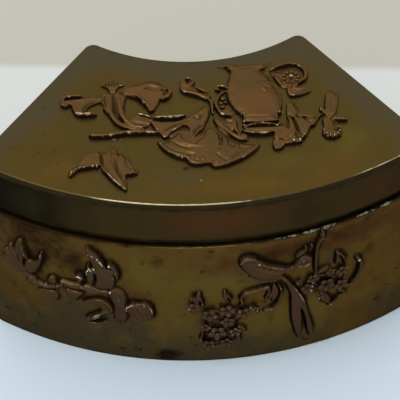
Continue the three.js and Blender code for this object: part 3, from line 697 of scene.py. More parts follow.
def patinaGroup():
    group, given, result = newGroup("handRubbedPatina", [
        ("Base", "colour", tone(120, 95, 45)), ("Deep", "colour", tone(60, 50, 30)),
        ("Warm", "colour", tone(140, 100, 50)), ("Green", "colour", tone(90, 90, 50)),
        ("Warm Amount", "float", 0.0), ("Green Amount", "float", 0.0), ("Deep Amount", "float", 0.0),
        ("Unevenness", "float", 0.6), ("Blotch Scale", "float", 70.0), ("Upright Stretch", "float", 1.0),
        ("Speckle", "float", 0.12), ("Pits", "float", 0.0),
        ("Smooth", "float", 0.3), ("Rough", "float", 0.5),
    ], [("Color", "colour"), ("Roughness", "float"), ("Height", "float")])
    look, plain = patinaLook, objectPoint(group)
    split, merge = group.nodes.new("ShaderNodeSeparateXYZ"), group.nodes.new("ShaderNodeCombineXYZ")
    feed(group, split.inputs["Vector"], plain)
    upright = times(group, split.outputs["Z"], given["Upright Stretch"])
    for axis, value in (("X", split.outputs["X"]), ("Y", split.outputs["Y"]), ("Z", upright)):
        feed(group, merge.inputs[axis], value)
    noises = {}
    for name, (scale, detail, roughness, distortion) in look["noises"].items():
        vector = plain if name in ("fine", "grain") else merge.outputs["Vector"]
        scaled = times(group, given["Blotch Scale"], scale)
        noises[name] = noiseAt(group, vector, scaled, detail, roughness, distortion)
    color = given["Base"]
    for name, tint in (("broad", "Deep"), ("patches", "Warm"), ("green", "Green")):
        uneven = centred(group, noises[name], given["Unevenness"])
        share = remap(group, plus(group, uneven, given[tint + " Amount"]), *look["tintRange"])
        color = blend(group, share, color, given[tint])
    patches, fine = noises["patches"], noises["fine"]
    speckle = times(group, centred(group, fine, look["speckleGain"]), given["Speckle"])
    pits = remap(group, noiseAt(group, plain, *look["pitNoise"]), *look["pitRange"])
    shade = minus(group, plus(group, speckle, 1.0), times(group, pits, given["Pits"]))
    shadeColor = group.nodes.new("ShaderNodeCombineXYZ")
    for axis in "XYZ":
        feed(group, shadeColor.inputs[axis], shade)
    color = blend(group, 1.0, color, shadeColor.outputs["Vector"], "MULTIPLY")
    feed(group, result["Color"], color)
    mixed = plus(group, *(times(group, n, s) for n, s in zip((patches, fine), look["roughMix"])))
    roughness = remap(group, mixed, *look["roughRange"], given["Smooth"], given["Rough"])
    feed(group, result["Roughness"], roughness)
    heights = [times(group, n, s) for n, s in zip((patches, fine, noises["grain"]), look["heightMix"])]
    feed(group, result["Height"], plus(group, plus(group, *heights[:2]), heights[2]))
    return group


rubAndGlintLook = {"breakNoise": (3, 0.6), "middle": 0.55}    # middle: the amount at which half the mask shows, as bare metal and as painted glints and highlights


def rubAndGlintGroup():
    group, given, result = newGroup("patchyWearAndGlint", [
        ("Wear", "float", 0.0), ("Break Scale", "float", 700.0), ("Break Amount", "float", 0.7),
        ("Softness", "float", 0.25),
    ], [("Mask", "float")])
    noise = noiseAt(group, objectPoint(group), given["Break Scale"], *rubAndGlintLook["breakNoise"])
    value = plus(group, given["Wear"], centred(group, noise, given["Break Amount"]))
    middle = rubAndGlintLook["middle"]
    low, high = minus(group, middle, given["Softness"]), plus(group, middle, given["Softness"])
    feed(group, result["Mask"], remap(group, value, low, high))
    return group


# A noise is its scale, if that isn't given elsewhere, then detail, roughness and distortion
crustLook = {
    "grimeNoise": (4, 0.6), "grimeBreak": 0.9, "grimeRange": (0.12, 0.85), "grimeGate": (0.0, 0.2),
    "coarseNoise": (430.0, 4, 0.7, 0.8), "fineNoise": (2400.0, 3, 0.6),
    "crustBreak": 2.4, "crustRange": (0.42, 0.7), "crustGate": (0.03, 0.25), "paleRange": (0.35, 0.62),
}


def grimeGroup():
    group, given, result = newGroup("gatheredGrimeAndShade", [
        ("Amount", "float", 0.0), ("Patch Scale", "float", 350.0), ("Strength", "float", 0.85),
    ], [("Mask", "float")])
    noise = noiseAt(group, objectPoint(group), given["Patch Scale"], *crustLook["grimeNoise"])
    value = plus(group, given["Amount"], centred(group, noise, crustLook["grimeBreak"]))
    mask = remap(group, value, *crustLook["grimeRange"])
    gate = remap(group, given["Amount"], *crustLook["grimeGate"])
    feed(group, result["Mask"], times(group, times(group, mask, gate), given["Strength"]))
    return group


def verdigrisGroup():
    group, given, result = newGroup("verdigrisCrust", [
        ("Amount", "float", 0.0), ("Pale", "colour", tone(142, 148, 130)),
        ("Green", "colour", tone(72, 82, 62)),
    ], [("Color", "colour"), ("Mask", "float"), ("Height", "float")])
    point = objectPoint(group)
    coarse = noiseAt(group, point, *crustLook["coarseNoise"])
    fine = noiseAt(group, point, *crustLook["fineNoise"])
    value = plus(group, given["Amount"], centred(group, coarse, crustLook["crustBreak"]))
    mask = remap(group, value, *crustLook["crustRange"])
    gate = remap(group, given["Amount"], *crustLook["crustGate"])
    pale = remap(group, fine, *crustLook["paleRange"])
    feed(group, result["Mask"], times(group, mask, gate))
    feed(group, result["Color"], blend(group, pale, given["Green"], given["Pale"]))
    feed(group, result["Height"], fine)
    return group


groups = {
    "patina": patinaGroup(), "wear": rubAndGlintGroup(), "grimeAndShade": grimeGroup(), "verdigris": verdigrisGroup(),
}
print("shader groups ready")


def useGroup(tree, key, values):
    node = tree.nodes.new("ShaderNodeGroup")
    node.node_tree = groups[key]
    for label, value in values.items():
        feed(tree, node.inputs[label], value)
    return node.outputs


def attributeValue(tree, name):
    node = tree.nodes.new("ShaderNodeAttribute")
    node.attribute_name = name
    return node.outputs["Fac"]


layerLook = {
    "plainAmounts": {"Warm Amount": 0.4, "Green Amount": 0.35, "Deep Amount": 0.35},
    "hollowRange": (0.15, 0.8), "hollowRough": 0.25,
    "crestRange": (0.05, 0.4), "crestScale": 620.0, "crestSoft": 0.2,
    "edgeScale": 650.0, "edgeSoft": 0.22,
    "rubbedSmooth": 0.12,          # how much smoother rubbed metal is
    "dirtRough": 0.18, "crustRough": 0.4,
    "bumpDistance": 0.00025, "specular": 0.25,
}


def metalMaterial(name, colours, look):
    colours = {key: tone(*values) for key, values in colours.items()}
    detail = layerLook
    material = bpy.data.materials.new(name)
    material.use_nodes = True
    tree = material.node_tree
    shader = next(n for n in tree.nodes if n.type == "BSDF_PRINCIPLED")
    values = {
        **{key.capitalize(): colours[key] for key in ("base", "deep", "warm", "green")},
        "Unevenness": look["uneven"], "Blotch Scale": look["blotches"],
        "Upright Stretch": look.get("stretch", 1.0), "Speckle": look["speckle"],
        "Pits": look.get("pits", 0.0), "Smooth": look["smooth"], "Rough": look["rough"],
        **detail["plainAmounts"],
    }
    if look.get("painted"):
        for key in ("warm", "green", "deep"):
            values[key.capitalize() + " Amount"] = attributeValue(tree, key)
    patina = useGroup(tree, "patina", values)
    color, roughness, height = (patina[key] for key in ("Color", "Roughness", "Height"))
    metallic = look["metal"]
    if "ground" in colours:
        melted = times(tree, attributeValue(tree, "melted"), look["groundShare"], clamp=True)
        color = blend(tree, melted, color, colours["ground"])
    if "crestWearAndGlint" in colours:
        # painted shade with dirt: hollows, low parts and the sides that face the camera are darkened
        hollowDirtAndShade = remap(tree, attributeValue(tree, "hollowDirtAndShade"), *detail["hollowRange"])
        color = blend(tree, times(tree, hollowDirtAndShade, look["hollowShare"]), color, colours["hollowDirtAndShade"])
        # painted glints with rubbed metal: bright crests, broken up by noise
        crestWearAndGlint = attributeValue(tree, "crestWearAndGlint")
        rubbedAndGlinting = useGroup(tree, "wear", {
            "Wear": times(tree, crestWearAndGlint, look["crestWear"]), "Break Scale": detail["crestScale"],
            "Break Amount": look["crestBreak"], "Softness": detail["crestSoft"]})
        shown = times(tree, rubbedAndGlinting["Mask"], remap(tree, crestWearAndGlint, *detail["crestRange"]))
        color = blend(tree, times(tree, shown, look["crestShare"]), color, colours["crestWearAndGlint"])
        roughness = plus(tree, roughness, times(tree, hollowDirtAndShade, detail["hollowRough"]))
        roughness = minus(tree, roughness, times(tree, shown, detail["rubbedSmooth"]))
    # wear, and painted highlights on edges
    if "edge" in colours:
        wornAndLitEdge = useGroup(tree, "wear", {
            "Wear": attributeValue(tree, "edgeWearAndHighlight"), "Break Scale": detail["edgeScale"],
            "Softness": detail["edgeSoft"]})["Mask"]
        color = blend(tree, times(tree, wornAndLitEdge, look["edgeShare"]), color, colours["edge"])
        roughness = minus(tree, roughness, times(tree, wornAndLitEdge, detail["rubbedSmooth"]))
    # dirt, and the painted shade and shadow that share its mask
    if "dirtAndShade" in colours:
        dirtAndShade = useGroup(tree, "grimeAndShade", {
            "Amount": attributeValue(tree, "grimeAndShade"), "Strength": look["dirtShare"]})["Mask"]
        color = blend(tree, dirtAndShade, color, colours["dirtAndShade"])
        roughness = plus(tree, roughness, times(tree, dirtAndShade, detail["dirtRough"]))
    if look.get("verdigris"):
        crust = useGroup(tree, "verdigris", {"Amount": attributeValue(tree, "verdigris")})
        color = blend(tree, crust["Mask"], color, crust["Color"])
        roughness = plus(tree, roughness, times(tree, crust["Mask"], detail["crustRough"]), clamp=True)
        metallic = minus(tree, look["metal"], times(tree, crust["Mask"], look["metal"]))
        height = plus(tree, height, times(tree, crust["Height"], crust["Mask"]))
    bump = tree.nodes.new("ShaderNodeBump")
    bump.inputs["Strength"].default_value = look["bump"]
    bump.inputs["Distance"].default_value = detail["bumpDistance"]
    feed(tree, bump.inputs["Height"], height)
    for label, value in (
        ("Normal", bump.outputs["Normal"]), ("Base Color", color), ("Roughness", roughness),
        ("Specular IOR Level", detail["specular"]), ("Specular Tint", colours["glance"]),
        ("Metallic", metallic),
    ):
        feed(tree, shader.inputs[label], value)
    return material


finishes = {
    "lidBrass": metalMaterial("agedLidBrass", {
        "base": (82, 66, 32), "deep": (78, 69, 48), "warm": (94, 71, 29), "green": (88, 75, 31),
        "glance": (190, 170, 120), "edge": (226, 206, 156), "dirtAndShade": (30, 24, 14),
    }, {
        "uneven": 1.4, "blotches": 62.0, "speckle": 0.1, "pits": 0.2, "smooth": 0.32, "rough": 0.4,
        "metal": 0.85, "bump": 0.08,
        "edgeShare": 0.7, "dirtShare": 0.75, "painted": True, "verdigris": True,
    }),
    "wallBrass": metalMaterial("agedWallBrass", {
        "base": (95, 71, 33), "deep": (70, 61, 42), "warm": (84, 54, 30), "green": (100, 81, 38),
        "glance": (120, 92, 50), "edge": (160, 128, 76), "dirtAndShade": (27, 19, 11),
    }, {
        "uneven": 1.5, "blotches": 110.0, "stretch": 0.8, "speckle": 0.2, "pits": 0.7,
        "smooth": 0.34, "rough": 0.5, "metal": 0.85, "bump": 0.25,
        "edgeShare": 0.7, "dirtShare": 0.88, "painted": True, "verdigris": True,
    }),
    "skirtBronze": metalMaterial("darkSkirtBronze", {
        "base": (62, 49, 26), "deep": (32, 26, 14), "warm": (78, 50, 28), "green": (56, 52, 30),
        "glance": (120, 96, 60), "edge": (130, 104, 62), "dirtAndShade": (22, 17, 10),
    }, {
        "uneven": 0.8, "blotches": 70.0, "stretch": 0.35, "speckle": 0.08, "pits": 0.2,
        "smooth": 0.34, "rough": 0.48, "metal": 0.85, "bump": 0.2,
        "edgeShare": 0.6, "dirtShare": 0.85, "painted": True, "verdigris": True,
    }),
    "insideBronze": metalMaterial("plainInsideBronze", {
        "base": (70, 56, 32), "deep": (46, 38, 24), "warm": (88, 64, 34), "green": (58, 56, 34),
        "glance": (150, 130, 90),
    }, {
        "uneven": 1.0, "blotches": 70.0, "speckle": 0.12, "smooth": 0.42, "rough": 0.6,
        "metal": 0.85, "bump": 0.4,
    }),
    "lidRelief": metalMaterial("copperyLidRelief", {
        "base": (98, 72, 43), "deep": (78, 60, 38), "warm": (108, 73, 39), "green": (82, 67, 38),
        "glance": (170, 140, 100), "crestWearAndGlint": (204, 182, 146), "ground": (84, 67, 35), "hollowDirtAndShade": (24, 15, 8),
    }, {
        "uneven": 1.3, "blotches": 80.0, "speckle": 0.1, "smooth": 0.36, "rough": 0.48,
        "metal": 0.75, "bump": 0.08,
        "crestShare": 0.6, "crestWear": 0.64, "crestBreak": 1.9, "groundShare": 1.0, "hollowShare": 0.94,
    }),
    "frontRelief": metalMaterial("brownFrontRelief", {
        "base": (74, 55, 38), "deep": (56, 44, 33), "warm": (86, 57, 36), "green": (74, 60, 38),
        "glance": (140, 126, 106), "crestWearAndGlint": (214, 200, 178), "ground": (84, 64, 32), "hollowDirtAndShade": (18, 12, 7),
    }, {
        "uneven": 1.3, "blotches": 110.0, "speckle": 0.12, "smooth": 0.26, "rough": 0.4,
        "metal": 0.8, "bump": 0.2,
        "crestShare": 0.62, "crestWear": 0.8, "crestBreak": 1.7, "groundShare": 0.2, "hollowShare": 0.94,
    }),
}
print("finishes ready")


# Castings of the lid. Points are millimetres on the lid, x to the right and y to the back
def lidCasting(name, node, forms, cuts=(), openings=()):
    makeRelief(name, node, "lid", finishes["lidRelief"], "lid", forms, cuts, openings)


def frontCasting(name, node, forms, cuts=(), openings=()):
    makeRelief(name, node, "base", finishes["frontRelief"], "front", forms, cuts, openings)


lidCasting("lilyFlower", "lily_flower", [
    slab([(-24.5, 10.2), (-27.9, 9.8), (-31.5, 9.7), (-34.2, 9.4), (-36.3, 8.2), (-36, 6.3), (-33.9, 6.3),
        (-33.3, 4.3), (-32.4, 2.6), (-29.8, 2), (-27.3, 2.1), (-26.8, 3.4), (-27, 5.3), (-24.6, 6.1)],
        1.0),
    slab([(-25.4, 9.8), (-23.3, 11.1), (-20.6, 11), (-18.9, 9.6), (-19.2, 6.1), (-20.1, 2), (-18.3, -1.2),
        (-14.5, -3.5), (-16, -4.3), (-19.8, -3.1), (-22.3, -1.2), (-23.9, 2), (-25.5, 5.1)], 1.15),
    slab([(-19.9, 10.4), (-17.8, 13.1), (-13.8, 14.7), (-10.3, 14.1), (-8.1, 11.6), (-7.3, 9.4),
        (-8.3, 7.5), (-10, 7.1), (-11, 5.5), (-11.9, 3), (-13.4, 2.8), (-14.8, 5.5), (-16.9, 7.8),
        (-19.3, 9)], 1.0),
    slab([(-19.4, 8.6), (-16.5, 6.7), (-14.8, 4.5), (-13.2, 2.2), (-12.4, 0.3), (-13.3, -2), (-15.2, -2.8),
        (-17.7, -1.2), (-20.1, 2.2)], 0.55, crown=0.1),
    *[lobe([(-22.7, 9.9), (-22.7 + lean * 0.55, 12.6), (-22.7 + lean * 1.25, 15.6 - abs(lean) * 0.8)],
        0.28, 0.75) for lean in (-2.6, -1.6, -0.7, 0.2, 1.1, 1.9, 2.7)],
    lobe([(-36.2, 7.4), (-35.4, 9.1), (-32.7, 9.5), (-30.4, 9.3)], 0.6, 1.6),
    lobe([(-36.2, 7.8), (-35.7, 6.6), (-34.3, 6.2)], 0.7, 1.4),
    lobe([(-34.4, 8), (-30.7, 7.6), (-26.9, 8.6)], 0.9, 1.35),
    rib([(-32.8, 3.4), (-31, 2.5), (-27.6, 2.5)], 0.5, 2.1),
    lobe([(-29.8, 2.6), (-28.7, 4.7), (-26.3, 6.1)], 1.1, 1.5),
    lobe([(-24.4, 10), (-24, 6.1), (-23.1, 2), (-21.1, -1.6)], 0.8, 1.8),
    lobe([(-21.3, 10.8), (-21, 6.1), (-20.5, 2), (-18.9, -1.2), (-15.8, -3.6)], 0.95, 2.1),
    lobe([(-18.9, 9.6), (-16.8, 10.9), (-13.8, 11.8), (-11.6, 11.6)], 0.9, 1.35),
    lobe([(-18.7, 9.5), (-16.2, 8.4), (-14.4, 5.9), (-13, 3.6)], 0.6, 2.0),
    lobe([(-8.5, 11.1), (-7.5, 9.6), (-8.3, 7.8), (-10, 6.7)], 0.6, 1.6),
    lobe([(-12, 9.4), (-11.2, 6.7), (-12.5, 3.2)], 0.9, 1.25),
    lobe([(-17, 1.9), (-14.6, 1), (-12.6, 0.2)], 0.45, 1.9),
    lobe([(-19.4, -1.6), (-17.2, -2.9), (-14.6, -3.6)], 0.4, 1.9),
], [
    ([(-30.6, 3.2), (-29.9, 5.5), (-27.8, 7.1), (-25.2, 7.6)], 0.34, 0.9),
    ([(-35.3, 8.4), (-32.9, 8.8), (-31.1, 8.7)], 0.28, 0.6),
    ([(-22.6, 10.8), (-22.4, 6.1), (-21.9, 2), (-20, -1.6)], 0.32, 0.8),
    ([(-14.5, 11), (-12.8, 11.4), (-11.4, 10.8), (-9.5, 10.6), (-8.1, 10.4)], 0.42, 1.0),
    ([(-19.5, 9.4), (-18.3, 8.4), (-16.3, 7.1), (-15.2, 5.3), (-13.8, 3.4)], 0.3, 0.9),
    ([(-24.9, 9.4), (-25.2, 7), (-24.6, 4.4)], 0.3, 0.7),
    ([(-9.8, 11), (-8.8, 9.6), (-9.4, 8.2)], 0.28, 0.8),
    ([(-17.6, -0.6), (-15.4, -1.6), (-13.2, -1.8)], 0.26, 0.6),
], [
    [(-30, 3.4), (-29.4, 5.1), (-27.8, 6.4), (-25.7, 7), (-25.2, 5), (-26.2, 2.9), (-28, 3)],
    [(-18.8, 8.6), (-17, 7.4), (-15.2, 5.8), (-13.6, 3.6), (-14, 1.8), (-16.4, 1.6), (-18.4, 0.6),
        (-19.6, 2.4), (-19.6, 6)],
])

lidCasting("lidTwig", "lid_twig", [
    lobe([(-29, -4.9), (-26.4, -5.5), (-22.4, -5.2), (-18.2, -4.5), (-14.4, -4.9), (-10.6, -5.3)],
        0.62, 1.7, ends=0.15),
    rib([(-29.2, -4.9), (-27.6, -5.3), (-25.4, -5.3)], 0.85, 1.8),
    rib([(-19.6, -4.7), (-17, -4.6), (-14.8, -5)], 0.85, 1.9),
])

lidCasting("centreLeaves", "centre_leaves", [
    slab([(-13.6, 0.1), (-10.2, 0.2), (-6.1, 0.2), (-4.4, 0.5), (-2.1, 1.1), (-0.2, 2.9), (1.5, 4.4),
        (2.3, 2.6), (2.3, -0.1), (1.5, -2.2), (0.7, -4.5), (-0.6, -5.8), (-2.1, -7.7), (-2.6, -5.4),
        (-3.4, -3.5), (-4.8, -3.1), (-7.2, -5.4), (-9.5, -7.1), (-11, -5.2)], 1.0),
    lobe([(-9.9, -6.4), (-7.6, -4.3), (-4.8, -2.3), (-2.1, -0.8)], 0.75, 1.55),
    lobe([(-10.7, -2.8), (-7.1, -2.6), (-3.1, -1.1), (-0.4, 1.5)], 0.8, 1.4),
    lobe([(1.4, 3.9), (1.6, 1.1), (0.6, -1.8), (-1.5, -5.2)], 1.0, 1.6, groove=0.3),
    web([(-8.4, -3.4), (-5, -2.4), (-1, -3.6), (-1.6, -6.8), (-4.4, -7.2), (-8.8, -6.6), (-10.2, -5)],
        0.45, 0.8),
    rib([(-12.8, 0), (-10.2, 0), (-6.1, 0), (-3.6, 0.5)], 0.42, 2.0),
    rib([(-9.4, -6.6), (-7.4, -5.1), (-5, -3.3)], 0.35, 1.8),
    *beads((-2.5, -1.9, 0.75, 1.4)),
], [
    ([(-12.4, -0.9), (-9, -1), (-5, -0.8), (-2.6, -0.4)], 0.3, 0.8),
    ([(-10.2, -5), (-7.8, -3.7), (-5.2, -2.4), (-2.7, -1.2)], 0.28, 0.7),
    ([(-2.1, -7.3), (-1.8, -5.2), (-0.4, -3.7), (1.5, -2.1)], 0.3, 0.7),
    ([(-1.8, 0), (-0.4, -0.8), (0.4, 1.1)], 0.3, 0.55),
])

lidCasting("bigLeaf", "big_leaf", [
    slab([(-11.6, -7.9), (-9.7, -8.5), (-7.4, -6.5), (-5, -4.3), (-4, -5.4), (-3.2, -8.8), (-0.8, -7.5),
        (1.1, -5.8), (2.1, -3.7), (3.4, -4.3), (5.5, -6.6), (7.6, -9.2), (10.2, -10.7), (13, -10.5),
        (15.1, -10.7), (13.6, -13), (10.9, -15.4), (6.6, -17.8), (2.8, -18.4), (1.9, -16.9), (-1.3, -17.4),
        (-3.4, -16.7), (-4.5, -15), (-7.7, -13.3), (-10.4, -10.7)], 0.85),
    rib([(-11.2, -8.3), (-9.3, -11.3), (-6.6, -13.3), (-4, -14.5), (-2.5, -16.3), (0.4, -16.9)], 0.8, 1.6),
    rib([(2.4, -17.8), (6.2, -17.1), (10.5, -14.9), (13.4, -12.6), (14.9, -10.9)], 0.8, 1.6),
    lobe([(-6.3, -6.2), (-4.4, -9.4), (-0.4, -10.7), (3.4, -10)], 0.75, 1.45),
    lobe([(2.2, -4.5), (3.7, -7.9), (3, -11.1)], 0.9, 1.6, groove=0.3),
    lobe([(5.5, -7.3), (6.2, -10.3), (5.1, -13.3)], 0.75, 1.4),
    lobe([(9.1, -10), (8.7, -12.4), (6.2, -14.5)], 0.8, 1.25),
    lobe([(-9.7, -9.2), (-6.8, -11.1), (-3, -12.6)], 1.3, 1.25),
    web([(-8, -6.4), (-4.2, -4.9), (2, -4.2), (6, -5.8), (10.2, -8.6), (14.4, -10.8), (9, -12), (0, -10),
        (-6, -9)], 0.5, 0.9),
    ringForm(-1.4, -14.6, 1.3, 0.9, 0.4, 1.2),
    ringForm(2.2, -13.6, 0.9, 1.6, 0.4, 1.2),
    *[bead(3.4 + 1.7 * k, -17.4 + 0.16 * k * k, 0.4, 1.9) for k in range(6)],
    *[bead(-5.2 + 1.3 * k, -14.6 - 0.35 * k, 0.35, 1.8) for k in range(5)],
    *beads((0.7, -10.4, 0.6, 1.7), (4.6, -11.1, 0.75, 1.6), (-3.6, -15.1, 0.6, 1.6), (2.3, -17, 0.6, 1.5)),
], [
    ([(-8, -7.9), (-6.1, -9.8), (-2.5, -11.7)], 0.28, 0.5),
    ([(-5.7, -12.8), (-3.2, -13.3), (-1.5, -13.9)], 0.28, 0.5),
    ([(7.1, -15.2), (9.4, -13.5), (12.3, -11.8)], 0.3, 0.5),
    ([(3.6, -13.5), (5.4, -15.6), (6.6, -16.3)], 0.28, 0.5),
    ([(4.7, -7.5), (5, -9.6), (4.4, -12.4)], 0.25, 0.5),
])

lidCasting("foldedLeaf", "folded_leaf", [
    slab([(3.5, -0.1), (5.9, -1.2), (8.4, -1.2), (9.6, -2.9), (9.4, -5.4), (10.8, -7.5), (12.5, -8.8),
        (10.4, -9.4), (8.1, -7.9), (5.9, -5.4), (4, -2.9)], 0.95),
    lobe([(4.3, -1.2), (6.4, -4.7), (8.7, -7.4), (11.2, -8.8)], 0.75, 1.55),
    lobe([(6.5, -1.7), (8.7, -2.4), (9, -5.2), (10.1, -7.3)], 0.7, 1.35),
    web([(3.7, -0.4), (9.2, -0.5), (11, -2.2), (11.6, -5), (12.2, -8.4), (9.8, -9), (6, -6.4), (4, -3.4)],
        0.5, 0.8),
    *beads((11, -8.1, 1.2, 1.45)),
], [
    ([(5.3, -1.8), (7.2, -4.5), (9.5, -7.4)], 0.28, 0.6),
])

lidCasting("jarBody", "jar", [
    slab([(8.7, 18.8), (8.8, 16.4), (8.2, 13.5), (7.5, 9.5), (7.7, 5.4), (9.2, 1.7), (11.1, -0.6),
        (11.1, -2.5), (12.8, -3.3), (19.1, -3.3), (20.6, -2.5), (20.5, -0.6), (21.7, 2.3), (21.9, 6.4),
        (21.1, 10.5), (19.2, 14.3), (17.8, 16.6), (18, 18.8)], 1.55, edge=1.4, crown=0.85),
    slab([(5.2, 18.8), (7.4, 18), (9.1, 16.2), (13.2, 16.4), (17.3, 16.3), (18.5, 17.7), (20.3, 19.5),
        (18.1, 19.4), (13.1, 19.1), (8, 19.5)], 1.45, edge=0.5, crown=0.1),
    lobe([(10.9, -2.6), (16, -3), (20.6, -2.6)], 0.5, 1.5, ends=0.25),
    slab([(8.4, 9.4), (5.6, 8), (4.2, 5), (4.8, 1.6), (7.6, 0.2), (9.4, 1.6), (8, 5.4)], 0.25, crown=0.0),
    rib([(7.7, 9.1), (5.4, 7.4), (4.4, 4.2), (5.7, 0.8), (8.2, -0.2)], 0.55, 1.4),
    rib([(4.4, 9.6), (5.6, 10.9), (7, 10.5), (8.2, 9.4)], 0.4, 1.2),
    rib([(7.2, 7.4), (6.6, 6.6), (7.3, 5.6)], 0.35, 1.2),
    *beads((5.3, 9.5, 0.55, 1.2), (6.2, 5.9, 0.6, 1.6), (5.8, 4.3, 0.45, 1.3), (6.9, 4.5, 0.5, 1.7),
        (6.2, 2.9, 0.55, 1.4), (11.2, 0.3, 0.7, 2.0), (20.7, 0.2, 0.7, 2.0)),
], [
    ([(11, -1.3), (15.9, -1.7), (20.6, -1.3)], 0.3, 0.3),
    ([(5, 19), (7.2, 18.2), (8.8, 16.8)], 0.3, 0.7),
    ([(17.4, 17), (18.6, 18.4), (20, 19.4)], 0.3, 0.8),
    ([(16.2, 8.4), (17.4, 7.2), (18.6, 7.6), (18, 9), (16.8, 9.4)], 0.22, 0.4),
    ([(17.4, 9.6), (18.8, 9), (20, 9.8), (19.4, 11), (18, 10.8)], 0.22, 0.4),
    ([(16, 10.6), (17, 11.8), (18.4, 12.2)], 0.22, 0.35),
    ([(18.8, 7), (20, 7.6), (20.6, 8.8)], 0.2, 0.3),
])

lidCasting("jarFoot", "jar_foot", [
    slab([(11.2, -5), (12.6, -3.8), (16, -3.4), (19.4, -3.8), (20.6, -5), (19.2, -6.6), (16, -7),
        (12.6, -6.6)], 0.95, crown=0.05),
    rib([(11.2, -4.7), (13.2, -3.9), (16, -3.6), (18.6, -3.9), (20.4, -4.5)], 0.3, 1.35),
    rib([(10.6, -5.6), (12.4, -6.7), (16, -7.2), (19.8, -6.6)], 0.5, 1.7),
    *beads((11.4, -4, 0.6, 1.35), (20.6, -4, 0.6, 1.35)),
], [
    ([(11.6, -4.9), (13.4, -4.6), (16, -4.4), (18.4, -4.6), (20, -5)], 0.24, 0.5),
    ([(12.6, -6.1), (16, -6.5), (19, -6.1)], 0.2, 0.25),
])

lidCasting("rosetteRim", "rosette", [
    slab([(22.4, 13.2), (22.9, 15.4), (24.8, 16.2), (26.8, 15.2), (27.5, 13.2), (26.8, 11), (24.9, 10.2),
        (23, 11)], 0.35, crown=0.0),
    rib([(19.4, 15.9), (21.4, 17.2), (24.1, 18.1), (26.8, 17.9)], 0.6, 1.4),
    rib([(26.6, 17.9), (28.5, 15.6), (28.6, 12.8), (26.6, 10.8)], 0.6, 1.3),
    web([(19.6, 15.4), (21, 16.6), (24, 17.4), (27, 17), (28.2, 15), (28.1, 12.6), (26.4, 10.6),
        (24.4, 9.4), (22.2, 9.8), (20.6, 12.6)], 0.4, 0.9),
    lobe([(20.3, 14.4), (21.3, 12.4), (22.2, 10.2)], 0.7, 0.9),
    lobe([(25.3, 10.8), (25.5, 9.5), (24.8, 7.7)], 0.9, 1.25),
    slab([(23.5, 10), (25.8, 9.5), (29.7, 8.7), (29.3, 7.5), (26.9, 6.3), (24.2, 6.1), (23.5, 7.9)], 1.0),
    lobe([(24.1, 8.5), (26.8, 8.3), (29.5, 8.2)], 0.6, 1.45),
], [
    ([(24.6, 6.7), (26.9, 7), (29.5, 8)], 0.3, 0.7),
    ([(21.7, 15.8), (24.1, 16.8), (26.6, 16.6)], 0.25, 0.6),
])

lidCasting("rightLeaves", "right_leaves", [
    slab([(22.8, -1.2), (23, 3.4), (24.6, 4.4), (25.9, 2.6), (25.8, 0.3), (24.6, -1.8)], 0.95),
    slab([(24.8, -1), (26.9, -1.4), (29, -1), (30.5, -1.6), (30.5, -3.3), (29.7, -5), (28.7, -5.4),
        (28.1, -6.9), (26.9, -9.2), (25.6, -9.2), (24.5, -5.8), (24.2, -3.3)], 1.05),
    slab([(22.6, -1), (23.9, -1), (25.1, -3.3), (25.3, -6.4), (26, -9.2), (26.1, -10.7), (23.6, -11.3),
        (21.5, -11.5), (20.6, -12.8), (18.7, -13), (18.3, -10.9), (18.9, -8.8), (21.2, -8.1), (22.8, -6.4),
        (23, -3.3)], 0.9),
    slab([(19.4, -4.6), (21.2, -3), (23, -2.2), (23.8, -6), (22.2, -8.8), (19.6, -9.6), (18.6, -8.8),
        (19, -6.6)], 0.85, edge=0.7),
    web([(25.2, 2.2), (28, 0.8), (30.3, -0.6), (30.2, -3.6), (28, -3), (25.4, -2.6)], 0.4, 0.8),
    lobe([(23.1, -1.4), (24.4, -4.8), (23.7, -7.9), (21.4, -10.3)], 0.7, 1.4),
    lobe([(25.6, -1.6), (27, -4.3), (26.4, -8.1)], 0.8, 1.45, groove=0.35),
    lobe([(25.4, -1.2), (27.9, -1.7), (30.3, -2.1)], 0.6, 1.5),
    lobe([(23.7, -0.8), (24.2, 1.7), (24.7, 4)], 0.55, 1.25),
    *beads((19.5, -10.2, 0.7, 2.1), (20.8, -11.9, 0.55, 1.9), (23.9, -10.6, 0.65, 2.1),
        (25.5, -10.4, 0.6, 2.1), (26.7, -8.7, 0.5, 2.0), (29.5, -4.5, 0.5, 1.6), (18.9, -12.2, 0.5, 1.7)),
], [
    ([(22.9, -0.4), (24.3, -2.7), (25, -5.6), (25.9, -9.2)], 0.3, 0.95),
    ([(27.3, -2.4), (28.4, -3.7), (29.3, -4.1)], 0.25, 0.5),
    ([(19.9, -9.4), (22.3, -9.8), (23.1, -8.6)], 0.25, 0.45),
])

lidCasting("rightFlower", "right_flower", [
    slab([(32.8, -2), (32.9, 3), (33.5, 6.5), (35.1, 8.1), (36.6, 7.3), (36.9, 5), (36.4, 2.3), (36, 0.1),
        (35.1, -2)], 1.15, edge=0.8),
    slab([(32.5, -1.4), (35.3, -1.4), (35.7, -3.3), (36.1, -5.8), (36.7, -7.3), (36.4, -9), (34.5, -10),
        (32.4, -9.6), (31.4, -7.9), (31.9, -5.4), (31.8, -3.1)], 1.0, edge=0.8),
    lobe([(34.3, -3.1), (36.4, -3), (38.5, -3.5)], 0.8, 1.35),
    lobe([(33.4, -1.6), (32.3, 0.1), (31.6, 1.9)], 0.7, 1.25),
    lobe([(32.1, -0.8), (30.6, -2.2), (29.9, -4.3)], 0.5, 1.1),
    *[bead(x, y, 0.48, 2.1) for x, y in ((32.1, -7.5), (32.6, -8.7), (33.5, -9.3), (34.6, -9.4),
        (35.5, -8.9), (36, -7.8), (36, -6.7))],
    *beads((35.3, -2.6, 0.7, 1.5)),
], [
    ([(35, 6.7), (34.9, 3), (34.4, -0.6)], 0.28, 0.35),
    ([(32.6, -2.5), (34, -1.9), (35.3, -2.1)], 0.3, 0.5),
    ([(33.9, -3.7), (33.7, -6), (33.8, -7.9)], 0.25, 0.3),
])

